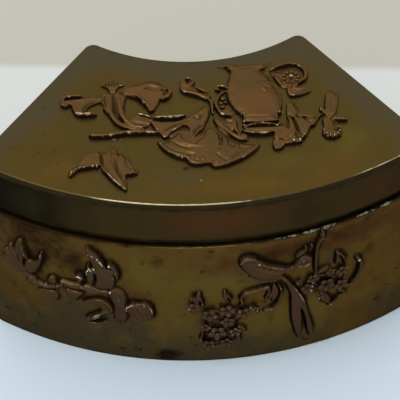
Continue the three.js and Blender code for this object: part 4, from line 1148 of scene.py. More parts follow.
lidCasting("scrollLeaf", "scroll", [
    slab([(-4.7, 10.2), (-4.8, 12.2), (-3.9, 14.1), (-2, 14.8), (-0.7, 13.7), (-0.7, 11.6), (1.1, 9.8),
        (2.7, 9), (3.3, 7.3), (2.3, 6.1), (0.9, 6.7), (-1.8, 8.1), (-3.9, 9)], 0.8),
    ringForm(-2.7, 12.9, 1.5, 1.4, 0.4, 1.2),
    lobe([(-4.5, 10.6), (-3.5, 9.4), (-1.4, 8.6), (2.3, 6.9)], 0.65, 1.5),
    lobe([(1.9, 7.1), (3.2, 4.9), (3.3, 2), (3.6, 0.7)], 0.55, 1.3),
    lobe([(-0.8, 11.2), (0.9, 9.8), (2.7, 8.6)], 0.5, 1.15),
], [
    ([(-3.3, 10.8), (-1, 9.9), (1.5, 8.4)], 0.26, 0.35),
    ([(-3.2, 12.9), (-2.7, 13), (-2.2, 12.9)], 0.5, 0.6),
])

lidCasting("smallBird", "small_bird", [
    slab([(-34.4, -19.3), (-34.4, -16.7), (-32.5, -15.2), (-30.7, -13.1), (-28.1, -11.8), (-26.4, -10.3),
        (-24.9, -11.5), (-25.4, -14.3), (-26.5, -15.9), (-29.3, -15.7), (-31.5, -16.6), (-33, -18.2)],
        0.9),
    slab([(-21.5, -11.5), (-18.5, -13.5), (-17.1, -16.1), (-16.7, -18.9), (-17.8, -19.6), (-20.8, -19.1)],
        0.85),
    slab([(-25.8, -11.3), (-23.6, -10.7), (-22.7, -8.8), (-21.9, -10.9), (-20.4, -12.4), (-19.6, -15),
        (-19.9, -18.2), (-19.6, -21.5), (-19.9, -25), (-21.6, -23.7), (-24.1, -20.6), (-26.1, -17.6),
        (-26.4, -13.9)], 1.0),
    lobe([(-24, -11.1), (-24.2, -14.3), (-23.4, -18.2), (-20.3, -24.1)], 1.0, 1.9, widest=0.4),
    rib([(-25.9, -15.4), (-24.8, -18.8), (-22.4, -22.4), (-20.4, -24.4)], 0.4, 1.8),
    lobe([(-21.3, -11.8), (-20.7, -16.1), (-20.4, -21.5)], 0.8, 1.45),
    lobe([(-22.8, -9), (-22.5, -10.9), (-22.2, -13.3)], 0.4, 1.0),
    lobe([(-21.2, -19.3), (-18.9, -19.3), (-17.2, -19)], 0.55, 1.45),
    lobe([(-33.9, -18.5), (-32.1, -16.8), (-29.3, -16.1), (-26.7, -16.1)], 0.55, 1.4),
    *[lobe([(-26.4, -11.6 - 0.7 * k), (-29.1, -12.3 - 0.6 * k), (-31.9 - 0.3 * k, -14.8 - 0.6 * k)],
        0.42, 1.2) for k in range(3)],
    *[bead(-33.9 + 1.1 * k, -18.3 + 2.1 * (1 - math.exp(-0.55 * k)), 0.4, 1.9) for k in range(7)],
    *beads((-24, -13.5, 0.75, 1.95), (-18.2, -18.7, 0.7, 2.0)),
], [
    ([(-26.3, -11.1), (-26.1, -13.9), (-25.7, -16.9)], 0.28, 0.8),
    ([(-22.5, -13.1), (-22.3, -16.7), (-20.9, -21.5)], 0.24, 0.6),
    ([(-19.9, -13.9), (-19.3, -16.5), (-18, -18.2)], 0.24, 0.5),
])

# Castings of the front. Points are millimetres along the curve from its middle, and up
leaf = {"veins": 0.11, "pitch": 0.95, "groove": 0.32}

frontCasting("leftSpray", "left_spray", [
    lobe([(-49.8, 26.4), (-51.6, 31), (-51.2, 37.6), (-50.8, 39.6)], 1.5, 1.3, **leaf),
    lobe([(-49.6, 27), (-52.8, 31.4), (-54.2, 36.4)], 1.3, 1.2, **leaf),
    slab([(-49.9, 28.4), (-50, 31.4), (-49, 32.6), (-47.2, 33), (-45.6, 34.6), (-44.8, 37.2), (-44.4, 35),
        (-45.2, 31.6), (-46.6, 28.8), (-48.4, 27.4)], 1.0),
    rib([(-50.3, 37), (-49.6, 34.6), (-48.7, 32.6)], 0.45, 1.5),
    rib([(-44.9, 36.6), (-45.4, 33.4), (-46.6, 30)], 0.5, 1.35),
    lobe([(-50, 27), (-53.4, 29.4), (-55.8, 33.6)], 1.2, 1.2, **leaf),
    lobe([(-49.8, 26.6), (-53.4, 27.4), (-56, 29.8)], 1.0, 1.1, **leaf),
    lobe([(-50.6, 27.2), (-47.4, 24.6), (-44.4, 23.8), (-41.2, 25), (-39.2, 26.2)], 0.75, 1.1, ends=0.2),
    slab([(-43.6, 26.4), (-42.8, 28.4), (-41.4, 28.2), (-41, 26.4), (-42, 25.4)], 0.8, edge=0.4),
    lobe([(-46.8, 21.2), (-44.4, 22), (-42.2, 22.2), (-41.2, 21), (-41.4, 18.8)], 0.5, 0.8, ends=0.2),
    *beads((-48.4, 24.8, 1.4, 1.3), (-49.4, 23.4, 0.7, 1.45), (-47.2, 24.6, 0.6, 1.55),
        (-44.4, 23.8, 1.0, 1.2), (-40.8, 25.4, 0.6, 1.4)),
], [
    ([(-49.6, 32.6), (-50.3, 30), (-50.2, 28)], 0.3, 0.8),
    ([(-52.6, 34.8), (-51.4, 31), (-50.2, 28.2)], 0.24, 0.6),
])

frontCasting("budFlower", "bud_flower", [
    slab([(-31.6, 43.9), (-30, 43), (-28.6, 41.6), (-27.6, 40), (-26.4, 37.8), (-26, 35.8), (-27.4, 34.4),
        (-28.8, 35.6), (-30, 37), (-30.8, 39.4), (-31.6, 41.6)], 1.25),
    lobe([(-31.4, 43.6), (-30.2, 42), (-28.7, 40.8), (-27.6, 39.2), (-26.6, 37)], 0.5, 1.9, ends=0.35),
    rib([(-26.2, 39.2), (-24.6, 37.6), (-23.8, 35), (-24.2, 32)], 0.7, 1.7),
    rib([(-26, 37), (-24.8, 36), (-24.5, 33)], 0.5, 1.8),
    slab([(-30.4, 36), (-29, 36.6), (-26.6, 37), (-24.9, 35.8), (-24.4, 33.2), (-24.6, 30.6), (-26, 29.2),
        (-28, 28.6), (-29.6, 29.2), (-30, 31), (-29.7, 33.6)], 1.3, crown=0.35),
    slab([(-31.2, 35.4), (-30.2, 36), (-29.6, 34.4), (-29.9, 32), (-30.4, 30), (-31.6, 29.6), (-32.2, 31),
        (-32, 33.4)], 1.2, crown=0.4),
    lobe([(-31.6, 37.2), (-30.6, 35.8), (-29.4, 35.2)], 0.5, 1.8),
    lobe([(-35.4, 31.8), (-34, 32), (-32.6, 31)], 0.7, 1.5),
    lobe([(-34.8, 29.2), (-33.8, 30.6), (-32.8, 31.4)], 0.7, 1.4),
    lobe([(-40, 27.6), (-36.8, 27), (-33, 27.4), (-28.6, 27.2), (-25.6, 27.4), (-23, 26)],
        1.15, 1.2, ends=0.2),
    rib([(-34.4, 29.4), (-33.2, 27.9), (-31, 27.2), (-28.4, 27)], 0.4, 1.7),
    slab([(-28.4, 28.6), (-25.6, 29.2), (-22.8, 28.2), (-21.5, 25), (-21.6, 20), (-21.9, 16.6),
        (-24.6, 15.6), (-25.4, 18), (-25.5, 22), (-26.8, 25.6)], 0.85, edge=0.9, crown=0.3),
    lobe([(-25.8, 27.6), (-24, 25.4), (-23.6, 22), (-23.8, 18.6), (-24.8, 16)], 1.2, 1.2, ends=0.2),
    rib([(-30.6, 35.6), (-30.2, 36.2), (-29.4, 36)], 0.35, 2.0),
    rib([(-32.1, 33), (-31.9, 34.8), (-31.2, 35.6)], 0.35, 1.9),
    rib([(-35.2, 31.9), (-34.2, 32.3), (-33, 31.6)], 0.35, 1.9),
    *beads((-30.9, 42.2, 0.55, 2.0), (-28.7, 40.9, 0.7, 2.15), (-25.6, 38.8, 0.6, 2.0),
        (-25.2, 36.2, 0.5, 2.0), (-34.2, 31.8, 0.6, 1.9), (-25.8, 28.1, 0.7, 1.8),
        (-23.6, 25.3, 0.6, 1.6)),
], [
    ([(-31.2, 40.4), (-30.8, 38.4), (-30.6, 36.6), (-29.2, 35.4)], 0.3, 0.9),
    ([(-31.9, 35.6), (-32.4, 32.6), (-31.8, 29.6), (-29.6, 28.6), (-27, 28.3), (-25, 29)], 0.34, 1.1),
    ([(-29.7, 35), (-29.6, 32.4), (-30, 29.8)], 0.28, 0.9),
    ([(-24.6, 36), (-24.2, 33.4), (-24.3, 30.4)], 0.26, 0.8),
    ([(-39, 25.6), (-36, 25.6), (-33, 25.2), (-30, 25.4)], 0.34, 0.9),
])

frontCasting("curledLeaf", "curled_leaf", [
    slab([(-38.4, 25), (-36.4, 25), (-33.6, 24.6), (-34.4, 23), (-35.6, 21), (-37, 20.4), (-38, 22)],
        0.7, edge=0.4),
    slab([(-34, 21.4), (-31.4, 23.4), (-28.4, 24), (-26.2, 22.6), (-25.6, 20), (-27.4, 17.4), (-30.2, 15),
        (-32.6, 13.8), (-33.4, 15), (-31, 17.4), (-28.8, 19.6), (-29.6, 21.4)], 1.1),
    rib([(-28.9, 23.4), (-27.4, 23), (-25.9, 20.6), (-27, 18.2)], 0.75, 1.5),
    rib([(-33.2, 14.2), (-30.8, 16.6), (-28.4, 18.8), (-26.2, 20)], 0.65, 1.75),
    rib([(-33.3, 13.8), (-30.4, 13.6), (-27.4, 15)], 0.4, 1.0),
    rib([(-31.8, 15.4), (-30, 16.9), (-28.6, 18.4)], 0.35, 2.0),
], [
    ([(-32.6, 15.6), (-30.6, 18), (-28.2, 19.8)], 0.26, 0.8),
    ([(-31.6, 14.6), (-29, 16.6), (-26.4, 18.4)], 0.28, 0.9),
])

frontCasting("hookLeaf", "hook_leaf", [
    slab([(-22, 23), (-20.6, 24.2), (-18.4, 24.4), (-16.6, 24.8), (-15, 23.4), (-14.6, 20.6), (-15, 18.2),
        (-16.8, 17.4), (-18.8, 17.8), (-21, 19.4), (-22, 21.4)], 1.15, crown=0.35),
    rib([(-21.9, 22.8), (-20, 24), (-17.8, 23.2), (-16.6, 24.2)], 0.5, 1.7),
    rib([(-17, 24.2), (-15.2, 23.2), (-14.8, 20.6), (-15, 18.2)], 0.42, 1.65),
    lobe([(-22.4, 19.4), (-22.8, 17), (-23.6, 15)], 0.9, 0.9),
    rib([(-21.4, 20.6), (-21.7, 22), (-21.2, 23.2), (-19.6, 24)], 0.32, 1.95),
    *beads((-21.4, 23, 0.6, 1.85), (-17.9, 22.2, 0.6, 1.8), (-16.8, 24.2, 0.5, 1.8)),
], [
    ([(-22.2, 22), (-21.4, 20), (-19, 18.2)], 0.26, 0.7),
    ([(-18.9, 22.6), (-18.6, 20.6), (-17.6, 18.6)], 0.22, 0.35),
])

frontCasting("birdBody", "bird_body", [
    slab([(8.2, 41), (9.4, 42.2), (11.2, 42.4), (12.8, 41.4), (14, 39.6), (15.6, 38.2), (17.4, 37),
        (19.4, 36.2), (21.6, 35.4), (22.2, 34.4), (20.6, 33.6), (19.3, 32.8), (17.6, 31.8), (15, 31.9),
        (12.4, 32.9), (10.4, 35.2), (8.6, 38.2)], 1.3, edge=0.8, crown=1.0),
    rib([(8.6, 40.2), (9.6, 41.4), (11.4, 41.6), (13, 40.8)], 0.9, 2.1),
    rib([(13.2, 40.2), (15.4, 38), (18, 36.6), (21, 35.4)], 0.7, 1.9),
    rib([(11, 34), (14, 32.6), (17.4, 32.4), (20, 33)], 0.6, 1.7),
    lobe([(20.2, 35.6), (22, 34.9), (23, 35.4), (23.7, 36.6)], 0.55, 1.3, ends=0.25),
    slab([(23.2, 36.6), (23.8, 35.4), (25.6, 35), (27.6, 35.8), (28.2, 37), (27.2, 38.2), (25.6, 38.8),
        (24.2, 38.2)], 1.2, edge=0.7, crown=0.6),
    rib([(23.6, 35.9), (25.4, 35.5), (27.4, 36.1)], 0.45, 1.9),
    rib([(23.2, 38.6), (24.6, 39.6), (25.8, 40.6), (26.2, 42)], 0.45, 1.1),
    *beads((25.2, 37.6, 0.5, 2.0), (13.4, 39.6, 0.5, 2.15)),
], [
    ([(12, 39.6), (13.4, 38.2), (16.2, 36.4), (19, 35)], 0.3, 0.25),
    ([(10.8, 38.6), (12.6, 36.8), (15.4, 34.8), (18, 33.8)], 0.3, 0.1),
    ([(14.6, 37.4), (16, 37.4)], 0.3, 0.5),
    ([(16, 36.4), (17.2, 36.6)], 0.26, 0.45),
    ([(22.4, 36.4), (23.6, 37.6), (24, 38.6)], 0.3, 0.6),
])

frontCasting("birdWing", "bird_wing", [
    lobe([(8.2, 25.6), (9.6, 27.5), (12, 28.1), (14.4, 28.7), (16.2, 29.6)], 0.55, 1.3, ends=0.25),
    rib([(13.4, 28.7), (15, 28.8), (16.4, 29.6)], 0.75, 1.5),
    lobe([(18.7, 29.6), (19.5, 26.6), (18.7, 22.8), (17, 20.2), (14.6, 19.2)], 0.45, 1.2, ends=0.2),
    lobe([(17.6, 29.4), (17.6, 26.4), (16.2, 23.6)], 0.9, 0.9, groove=0.3),
    lobe([(18.4, 28.4), (18.2, 25.2), (16.8, 22.6)], 0.55, 0.8),
    lobe([(16.4, 29), (16, 26), (15, 23.8)], 0.5, 0.8),
])

frontCasting("birdTail", "bird_tail", [
    slab([(18.6, 32.8), (20.2, 31.8), (22.4, 27.8), (24.1, 22.7), (25.1, 18.2), (25.3, 13.1), (25.2, 7.2),
        (24.5, 4.9), (23.4, 7.4), (22.3, 13.2), (22, 20), (21.9, 24.2), (20.6, 28.7), (18.9, 31.4)],
        1.15, edge=0.5, crown=0.3),
    slab([(20, 32.2), (22, 29.6), (24.4, 24.2), (26.4, 18.4), (27.7, 12.8), (28.6, 8.4), (28.5, 5.4),
        (27.6, 4.5), (26.9, 6.5), (26.2, 10.5), (25.4, 14.6), (24.4, 18.4), (22.6, 25), (20.6, 29.6)],
        1.25, edge=0.5, crown=0.3),
    lobe([(20, 31.8), (22.8, 27.4), (25.4, 21.4), (27.2, 14.6)], 0.35, 1.6, ends=0.5),
    lobe([(23.6, 20), (24, 14), (24.3, 9)], 0.5, 1.35, ends=0.5),
], [
    ([(24.9, 18), (25.7, 14), (26, 10), (26, 5)], 0.3, 0.9),
    ([(22.4, 28), (24, 23.6), (24.9, 19)], 0.3, 0.22),
])

frontCasting("leftBlossomStems", "left_blossoms", [
    web([(-1.2, 20.4), (0.4, 21.4), (3, 21.2), (5, 22), (8, 21), (9.4, 19.8), (8.6, 17.6), (7.2, 15.4),
        (7, 11.4), (6.4, 8.4), (4, 7), (1.2, 6.8), (-1, 8.2), (-1.2, 13), (-0.8, 18)], 0.26, 0.4),
    lobe([(-3, 22.6), (-3.1, 25.6), (-2.3, 29.4)], 0.95, 1.3, groove=0.35),
    lobe([(-1.2, 23), (-1.6, 25.6), (-2.3, 28.4)], 0.4, 1.3),
    lobe([(5.4, 24.2), (4.7, 26.6), (4.3, 29.8)], 0.6, 1.3, groove=0.35),
    lobe([(5.8, 24.6), (6, 26), (5, 28.2)], 0.4, 1.2),
    lobe([(10.6, 21.6), (11.8, 21.2), (13.6, 19)], 0.6, 1.2),
    lobe([(8.6, 25.4), (9, 24), (8.4, 22.6)], 0.55, 1.0),
    lobe([(6.4, 12.4), (7.8, 10.2), (8.6, 7.8)], 0.5, 1.1, groove=0.3),
    lobe([(7.6, 14.4), (9.2, 13.4), (10.2, 11.6)], 0.4, 0.9),
    lobe([(-1.6, 12.4), (-2.2, 10.4), (-1.4, 8.4)], 0.4, 1.0),
])

frontCasting("rightBlossomStems", "right_blossoms", [
    web([(26.6, 27.4), (28.6, 28.6), (32, 28.2), (35.4, 28.8), (37.4, 27.8), (37.2, 25.6), (36.4, 23),
        (35, 21.6), (32.8, 22), (30.2, 23.4), (27.4, 24.6), (26.4, 26)], 0.26, 0.4),
    lobe([(38.9, 21.2), (40.9, 23.4), (42, 26.8), (41.9, 29.6), (40.8, 31)],
        0.7, 1.5, ends=0.25, groove=0.2),
    rib([(34.5, 31.6), (35, 34.2), (34.9, 36.4)], 0.5, 1.3),
    rib([(35.1, 36.2), (36.4, 34.4), (37.2, 32.4), (37.4, 30.2)], 0.55, 1.5),
    slab([(30.2, 19.2), (31.2, 17), (32.8, 16), (33.6, 17.2), (33, 19.4), (31.6, 20.4)], 0.7, edge=0.4),
    lobe([(32.6, 15.4), (34.4, 16.4), (35.8, 18), (37.6, 18.6)], 0.4, 1.2, ends=0.25),
    lobe([(35.4, 20), (37, 19.6), (38.4, 17.8)], 0.35, 1.1),
    rib([(28.4, 29.8), (30.2, 30.6), (32.8, 31.4)], 0.35, 1.0),
    *beads((41.2, 30.6, 0.75, 1.9)),
])

frontCasting("frontTwig", "front_twig", [
    lobe([(30.6, 46.4), (30.9, 44.6), (29.4, 41.6), (29, 38), (28.9, 34), (29, 30.8)],
        0.62, 1.3, ends=0.15),
    lobe([(28.4, 37.2), (28.9, 37.9), (29.2, 39.4)], 0.5, 1.2),
    *beads((30.6, 45.2, 0.75, 1.5), (30.8, 43.8, 0.6, 1.5), (27.8, 41.6, 0.45, 1.0)),
])

# Blossoms: place and size of each
leftBlossomSpots = [
    (4.9, 21.4, 1.3), (9.2, 20.3, 1.2), (0.2, 20.2, 1.3), (2.2, 12.6, 1.45), (-0.2, 8.2, 1.1),
    (-3.8, 23.6, 1.05), (5, 16.8, 1.1), (12.4, 21.4, 0.6), (7, 12.8, 0.95), (4.6, 8.2, 1.05),
    (-0.9, 15.6, 0.8), (-3.8, 27.2, 0.55),
]
rightBlossomSpots = [
    (28.2, 28.4, 1.0), (31.8, 25, 1.35), (36.2, 22.8, 1.2), (36.6, 28, 1.15), (33, 29.6, 0.75),
    (26.6, 25.4, 1.05), (24.4, 28.4, 0.55), (30.4, 21.2, 0.8),
]
frontBlossoms = blossomTree(finishes["frontRelief"])
for name, spots in (("leftBlossomHeads", leftBlossomSpots), ("rightBlossomHeads", rightBlossomSpots)):
    makeBlossoms(name, "base", frontBlossoms, onFront, spots, blossomLook)
rosetteLook = {
    **blossomLook, "Petals": 9, "Petal Reach": 1.62, "Petal Size": 0.5, "Petal Flatness": 0.6,
    "Heart Size": 0.55, "Seat": 0.6,
}
rosetteSpots = [(24.8, 13.2, 1.15)]
lidBlossoms = blossomTree(finishes["lidRelief"])
makeBlossoms("rosetteHead", "lid", lidBlossoms, onLid, rosetteSpots, rosetteLook)


# Marks on the plain metal, where the photo has them: amount, centre and half sizes in mm
wallPatches = {
    "grimeAndShade": [
        (0.95, -11.2, 2.9, 3.2, 2.6), (0.6, -13, 40.4, 2.6, 2.4), (0.9, -1.3, 37, 0.7, 0.8),
        (0.4, -54, 17.5, 4, 4.5), (0.35, 34, 42, 15, 4), (0.62, -47, 41, 12, 9), (0.45, -35, 35, 5, 7),
        (0.4, 16.8, 14.5, 1.2, 3.2), (0.4, 32.6, 17, 2.4, 1.6), (0.45, 48.5, 10, 1.8, 2.6),
        (0.4, -30, 8, 2.6, 0.9), (0.35, 9, 32, 2.6, 1.8), (0.4, 45, 33, 2, 7), (0.4, -44.6, 28, 5, 2.4),
        (0.3, 20, 41, 8, 3),
    ],
    "warm": [(0.9, 24, 41, 12, 4), (0.8, 43, 41, 9, 4), (0.4, -21, 26, 4, 4), (0.4, 6, 40, 10, 4)],
    "green": [
        (0.6, 2, 31, 9, 5), (0.5, -18, 40, 7, 5), (0.5, -43, 29, 3.5, 3), (0.6, 29.5, 17, 3, 4),
        (0.3, -12, 32, 10, 8), (0.5, 12, 14, 30, 8),
    ],
    "deep": [(0.4, -30, 12, 16, 9), (0.35, 4, 13, 30, 6)],
}
skirtPatches = {
    "warm": [(0.9, 4, 56, 16, 6), (0.5, 48, 55, 8, 6)],
    "green": [(0.4, -40, 55, 20, 8)],
    "deep": [(0.4, 27, 55, 8, 8)],
}
platePatches = {
    "grimeAndShade": [(0.9, -4.4, -17.9, 0.8, 0.7), (0.3, -5.1, -14.8, 4, 1.6)],
    "scratch": [(0.55, -0.8, -22.2, 0.5, 1.0)],
    "crust": [(0.45, -22.6, -6.4, 2.8, 0.6), (0.35, -20.3, -6.4, 0.8, 0.5)],
    "deep": [(0.5, -8, -21, 9, 4)],
    # the first warm row, along the front of the top, is a painted golden sheen
    "warm": [(0.7, 10, -25, 26, 4.5), (0.6, -38, -17, 10, 5), (0.5, 36, -16, 12, 7)],
    "green": [(0.9, 37, -9, 7, 5), (0.6, 22, -17, 12, 4), (0.4, -4, 4, 8, 3)],
}


def patches(x, y, shown, table):
    return {key: shown * sum(amount * np.exp(-(((x - x0) / rx) ** 2 + ((y - y0) / ry) ** 2))
                             for amount, x0, y0, rx, ry in rows) for key, rows in table.items()}


def between(values, low, high, soft=2.0):
    return np.clip((values - low) / soft + 0.5, 0, 1) * np.clip((high - values) / soft + 0.5, 0, 1)


def span(values, amount, low, high, soft=2.0):
    return amount * between(values, low, high, soft)


def fadeOut(distance, amount, reach):
    return amount * bell(distance, reach)


def rising(values, amount, start, over):
    return amount * ramp(values, start, over)


# dark halo round the relief, of dirt and painted shadow
def shadowAndDirtHalo(side, x, y, rows):
    return sum(amount * coverAt(side, x + dx, y + dy, passes) for amount, dx, dy, passes in rows)


# Marks along edges and round the relief, in mm, some of them painted shade and highlight. Dirt, shade, wear
# and dark at an edge are an amount and a reach; spans are an amount, from where to where, and a softness;
# left and right dark are an amount, where it starts and over how much; halos of dirt and painted shadow are
# an amount, a shift and blur passes
wallAging = {
    "shadowAndDirtHalo": ((0.8, 0, 0, 3), (0.6, -0.7, -0.6, 12)),
    "seamShade": (0.55, 0.5), "seamUnshaded": (-14, 10, 10),    # the painted shade at the seam is left out over that span of the front
    "footDirt": (0.4, 1.2), "rimDirt": (0.15, 2.5),
    "rimWearReach": 0.22, "rimWearAndHighlight": 0.1, "rimWearFront": (0.42, -12, 12, 12), "footWear": (0.2, 0.5),
    "crustReach": 0.38, "crust": ((0.62, 18, 35), (0.52, 41, 53), (0.15, -50, -26)),
    "leftDark": (0.25, 30, 20), "rightDark": (0.25, 42, 16), "footDark": (0.7, 11),
    "footLight": (0.5, 22, 60, 12), "plainTint": 0.15, "awayDark": 0.8,
}
skirtAging = {
    "leftDark": (26, 18, 1.3),    # painted shade, a dark reflection: here where it starts, over how much, and its most
    "rightDark": (0.3, 50, 8), "awayDark": 0.5,
    "footWear": (0.3, 0.3), "topDirt": (0.45, 0.8), "footDirt": (0.3, 1.2),
    "crust": (0.15, 0.5), "crustSpan": (10, 46),
}
plateAging = {
    "topDepth": 0.12, "underDepth": 0.32, "wearDepth": 0.3,    # mm under the lid's top
    "shadowAndDirtHalo": ((0.5, 0.25, 0.5, 2),), "underDirt": 0.8, "backDirt": (0.25, 3.0),
    "edgeReach": 0.22, "frontWearAndHighlight": 0.2, "frontWearSpans": ((0.8, -28, 10, 8), (0.45, 38, 54, 6)),
    "backWear": 0.2, "backSheen": (1.1, 7.0), "sideSheen": (0.9, 8.0), "edgeDark": 0.8,
}
collarShade = (0.3, 2.0)
faceDepth = 0.9    # points this close to the outer radius, mm, are on the front face


def arcPlace(points):
    across = plan["outerRadius"] * np.arctan2(points[:, 0], fanCentreY - points[:, 1])
    radius = np.hypot(points[:, 0], points[:, 1] - fanCentreY)
    return across, points[:, 2], radius > plan["outerRadius"] - faceDepth


def wallMarks(points):
    across, z, onFace = arcPlace(points)
    marks, below, look = patches(across, z, onFace, wallPatches), wallHigh[2] - z, wallAging
    # painted shadow with dirt: a halo round the relief, and a wider one shifted up and to the right
    aroundRelief = shadowAndDirtHalo("front", across, z, look["shadowAndDirtHalo"])
    # painted shade: darker along the top of the wall, under the lid, except at the front's middle
    seam = fadeOut(below, *look["seamShade"]) * (1 - between(across, *look["seamUnshaded"]) * onFace)
    footDirt, footReach = look["footDirt"]
    grimeAndShade = footDirt * np.exp(-z / footReach) + fadeOut(below, *look["rimDirt"]) + seam
    grimeAndShade = grimeAndShade + onFace * aroundRelief + marks["grimeAndShade"]
    # painted highlight with wear: a lighter line along the rim, brightest at the front's middle
    rimWearAndHighlight = look["rimWearAndHighlight"] + span(across, *look["rimWearFront"]) * onFace
    edge = bell(below, look["rimWearReach"]) * rimWearAndHighlight + fadeOut(z, *look["footWear"])
    crust = bell(below, look["crustReach"]) * onFace * sum(span(across, *row) for row in look["crust"])
    ends = rising(-across, *look["leftDark"]) + rising(across, *look["rightDark"])
    # painted shade: darker towards the bottom, less so on the right of the front
    foot = fadeOut(z, *look["footDark"]) * (1 - span(across, *look["footLight"]))
    tint = look["plainTint"]
    deep = tint + onFace * (ends + foot) + marks["deep"] + look["awayDark"] * (1 - onFace)
    return {"edgeWearAndHighlight": edge, "grimeAndShade": grimeAndShade, "verdigris": crust,
            "warm": tint + marks["warm"], "green": tint + marks["green"], "deep": deep}


def skirtMarks(points):
    across, z, onFace = arcPlace(points)
    marks, above, look = patches(across, z, onFace, skirtPatches), z - skirtLow[2], skirtAging
    start, over, most = look["leftDark"]
    # painted shade: darker towards the left end, as a dark reflection; darker at the right end too
    ends = np.clip((-across - start) / over, 0, most) + rising(across, *look["rightDark"])
    # painted highlight with wear: lighter along the foot of the skirt
    return {"edgeWearAndHighlight": fadeOut(above, *look["footWear"]),
            "grimeAndShade": fadeOut(skirtHigh[2] - z, *look["topDirt"]) + fadeOut(above, *look["footDirt"]),
            "verdigris": fadeOut(above, *look["crust"]) * onFace * between(across, *look["crustSpan"]),
            "warm": marks["warm"], "green": marks["green"],
            "deep": look["awayDark"] * (1 - onFace) + onFace * ends + marks["deep"]}


def plateMarks(points):
    look, (x, y, z) = plateAging, points.T
    radius = np.hypot(x, y - fanCentreY)
    below = plateHigh[2] - z
    top = below < look["topDepth"]
    marks = patches(x, y, top, platePatches)
    fromInner = radius - plan["innerRadius"]
    edgeDistance = np.minimum(plan["outerRadius"] - radius, fromInner)
    sideAngle = np.clip(plan["halfAngle"] - np.abs(np.arctan2(x, fanCentreY - y)), 0, 1)
    # painted shadow with dirt: darker just in front of and left of the relief
    dirtAndShade = shadowAndDirtHalo("lid", x, y, look["shadowAndDirtHalo"]) * top + look["underDirt"] * (below > look["underDepth"])
    edge = bell(edgeDistance, look["edgeReach"]) * (below < look["wearDepth"])
    # painted highlight with wear: a bright line along the front edge of the top
    front = edge * (y < 0) * sum((span(x, *row) for row in look["frontWearSpans"]), look["frontWearAndHighlight"])
    # painted reflection: a greyer sheen along the back and side edges of the top
    rims = fadeOut(fromInner, *look["backSheen"]) + fadeOut(radius * np.sin(sideAngle), *look["sideSheen"])
    return {"edgeWearAndHighlight": np.maximum(front + look["backWear"] * edge * (y >= 0), marks["scratch"]),
            "grimeAndShade": dirtAndShade + top * fadeOut(fromInner, *look["backDirt"]) + marks["grimeAndShade"],
            "deep": top * rims + marks["deep"] + look["edgeDark"] * (1 - top),
            "verdigris": marks["crust"], "warm": marks["warm"], "green": marks["green"]}


def collarMarks(points):
    # painted shadow: the collar darker just above the wall's top
    return {"grimeAndShade": fadeOut(points[:, 2] - wallHigh[2], *collarShade)}


# The plates and bands of the box: rounding of the edges, rows up the outside and unevenness in mm
bandLook = {
    "wall": {"rounding": 0.35, "rows": 84, "uneven": 0.05},
    "collar": {"rounding": 0.3, "rows": 10, "uneven": 0.0},
    "skirt": {"rounding": 0.3, "rows": 20, "uneven": 0.05},
}


def bandShape(key, inset, thickness, low, high):
    look = bandLook[key]
    return bandProfile(inset, thickness, low[2], high[2], look["rounding"], look["rows"]), look["uneven"]


wall = bandShape("wall", 0, plan["wallThickness"], wallLow, wallHigh)
makeBand("baseWallBand", "base_wall", "base", "wall_brass", finishes["wallBrass"], *wall, wallMarks)
collarInset = plan["wallThickness"] + plan["collarClearance"]
collar = bandShape("collar", collarInset, plan["collarThickness"], collarLow, collarHigh)
makeBand("collarBand", "inner_collar", "base", "dark_bronze", finishes["insideBronze"], *collar,
         collarMarks)
skirt = bandShape("skirt", 0, plan["wallThickness"], skirtLow, skirtHigh)
makeBand("lidSkirtBand", "lid_skirt", "lid", "dark_bronze", finishes["skirtBronze"], *skirt, skirtMarks)

plateLook = {
    "edgeSteps": 5, "edgeRows": 4, "uneven": 0.03, "unevenScale": 12.0,
    "underRings": (0.06, 1, 12),        # first and last share of the outline, and how many
    "topRings": (0.995, 0.02, 96),
}


def makePlate():
    rounding, over, steps = plan["plateEdgeRound"], plan["plateOverhang"], plateLook["edgeSteps"]
    bottom, top = plateLow[2], plateHigh[2]
    middle = 0.5 * (plan["outerRadius"] + plan["innerRadius"])

    def shrunk(outline, share):
        turn = np.arctan2(outline[:, 0], fanCentreY - outline[:, 1]) * share
        radius = middle + (np.hypot(outline[:, 0], outline[:, 1] - fanCentreY) - middle) * share
        return np.column_stack([radius * np.sin(turn), fanCentreY - radius * np.cos(turn)])

    flat = fanOutline(rounding - over)
    edge = roundedEdge(rounding - over, bottom + rounding, rounding, -90, steps)[1:]
    edge += [(-over, z) for z in np.linspace(bottom + rounding, top - rounding, plateLook["edgeRows"])[1:]]
    edge += roundedEdge(rounding - over, top - rounding, rounding, 180, steps)[1:]
    rings = [(shrunk(flat, share), bottom) for share in np.linspace(*plateLook["underRings"])]
    rings += [(fanOutline(inset), z) for inset, z in edge]
    rings += [(shrunk(flat, share), top) for share in np.linspace(*plateLook["topRings"])]
    count = len(flat)
    points = np.concatenate([np.column_stack([outline, np.full(count, z)]) for outline, z in rings])
    faces = np.concatenate([ringFaces(i, i + 1, count) for i in range(len(rings) - 1)]).tolist()
    points = np.concatenate([points, [[0, fanCentreY - middle, z] for z in (bottom, top)]])
    under, upper = len(points) - 2, len(points) - 1
    last = (len(rings) - 1) * count
    faces += [[under, (i + 1) % count, i] for i in range(count)]
    faces += [[upper, last + i, last + (i + 1) % count] for i in range(count)]
    topFace = points[:, 2] > top - 0.01
    points[topFace, 2] -= np.abs(wobble(points[topFace], plateLook["uneven"], plateLook["unevenScale"]))
    marks = plateMarks(points)
    piece = meshObject("lidTopPlate", points, faces, "lid", finishes["lidBrass"], marks)
    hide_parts("lid_plate")
    print("lid plate", len(faces), "faces")


makePlate()
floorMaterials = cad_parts["base_floor"].data.materials
floorMaterials.clear()
floorMaterials.append(finishes["insideBronze"])


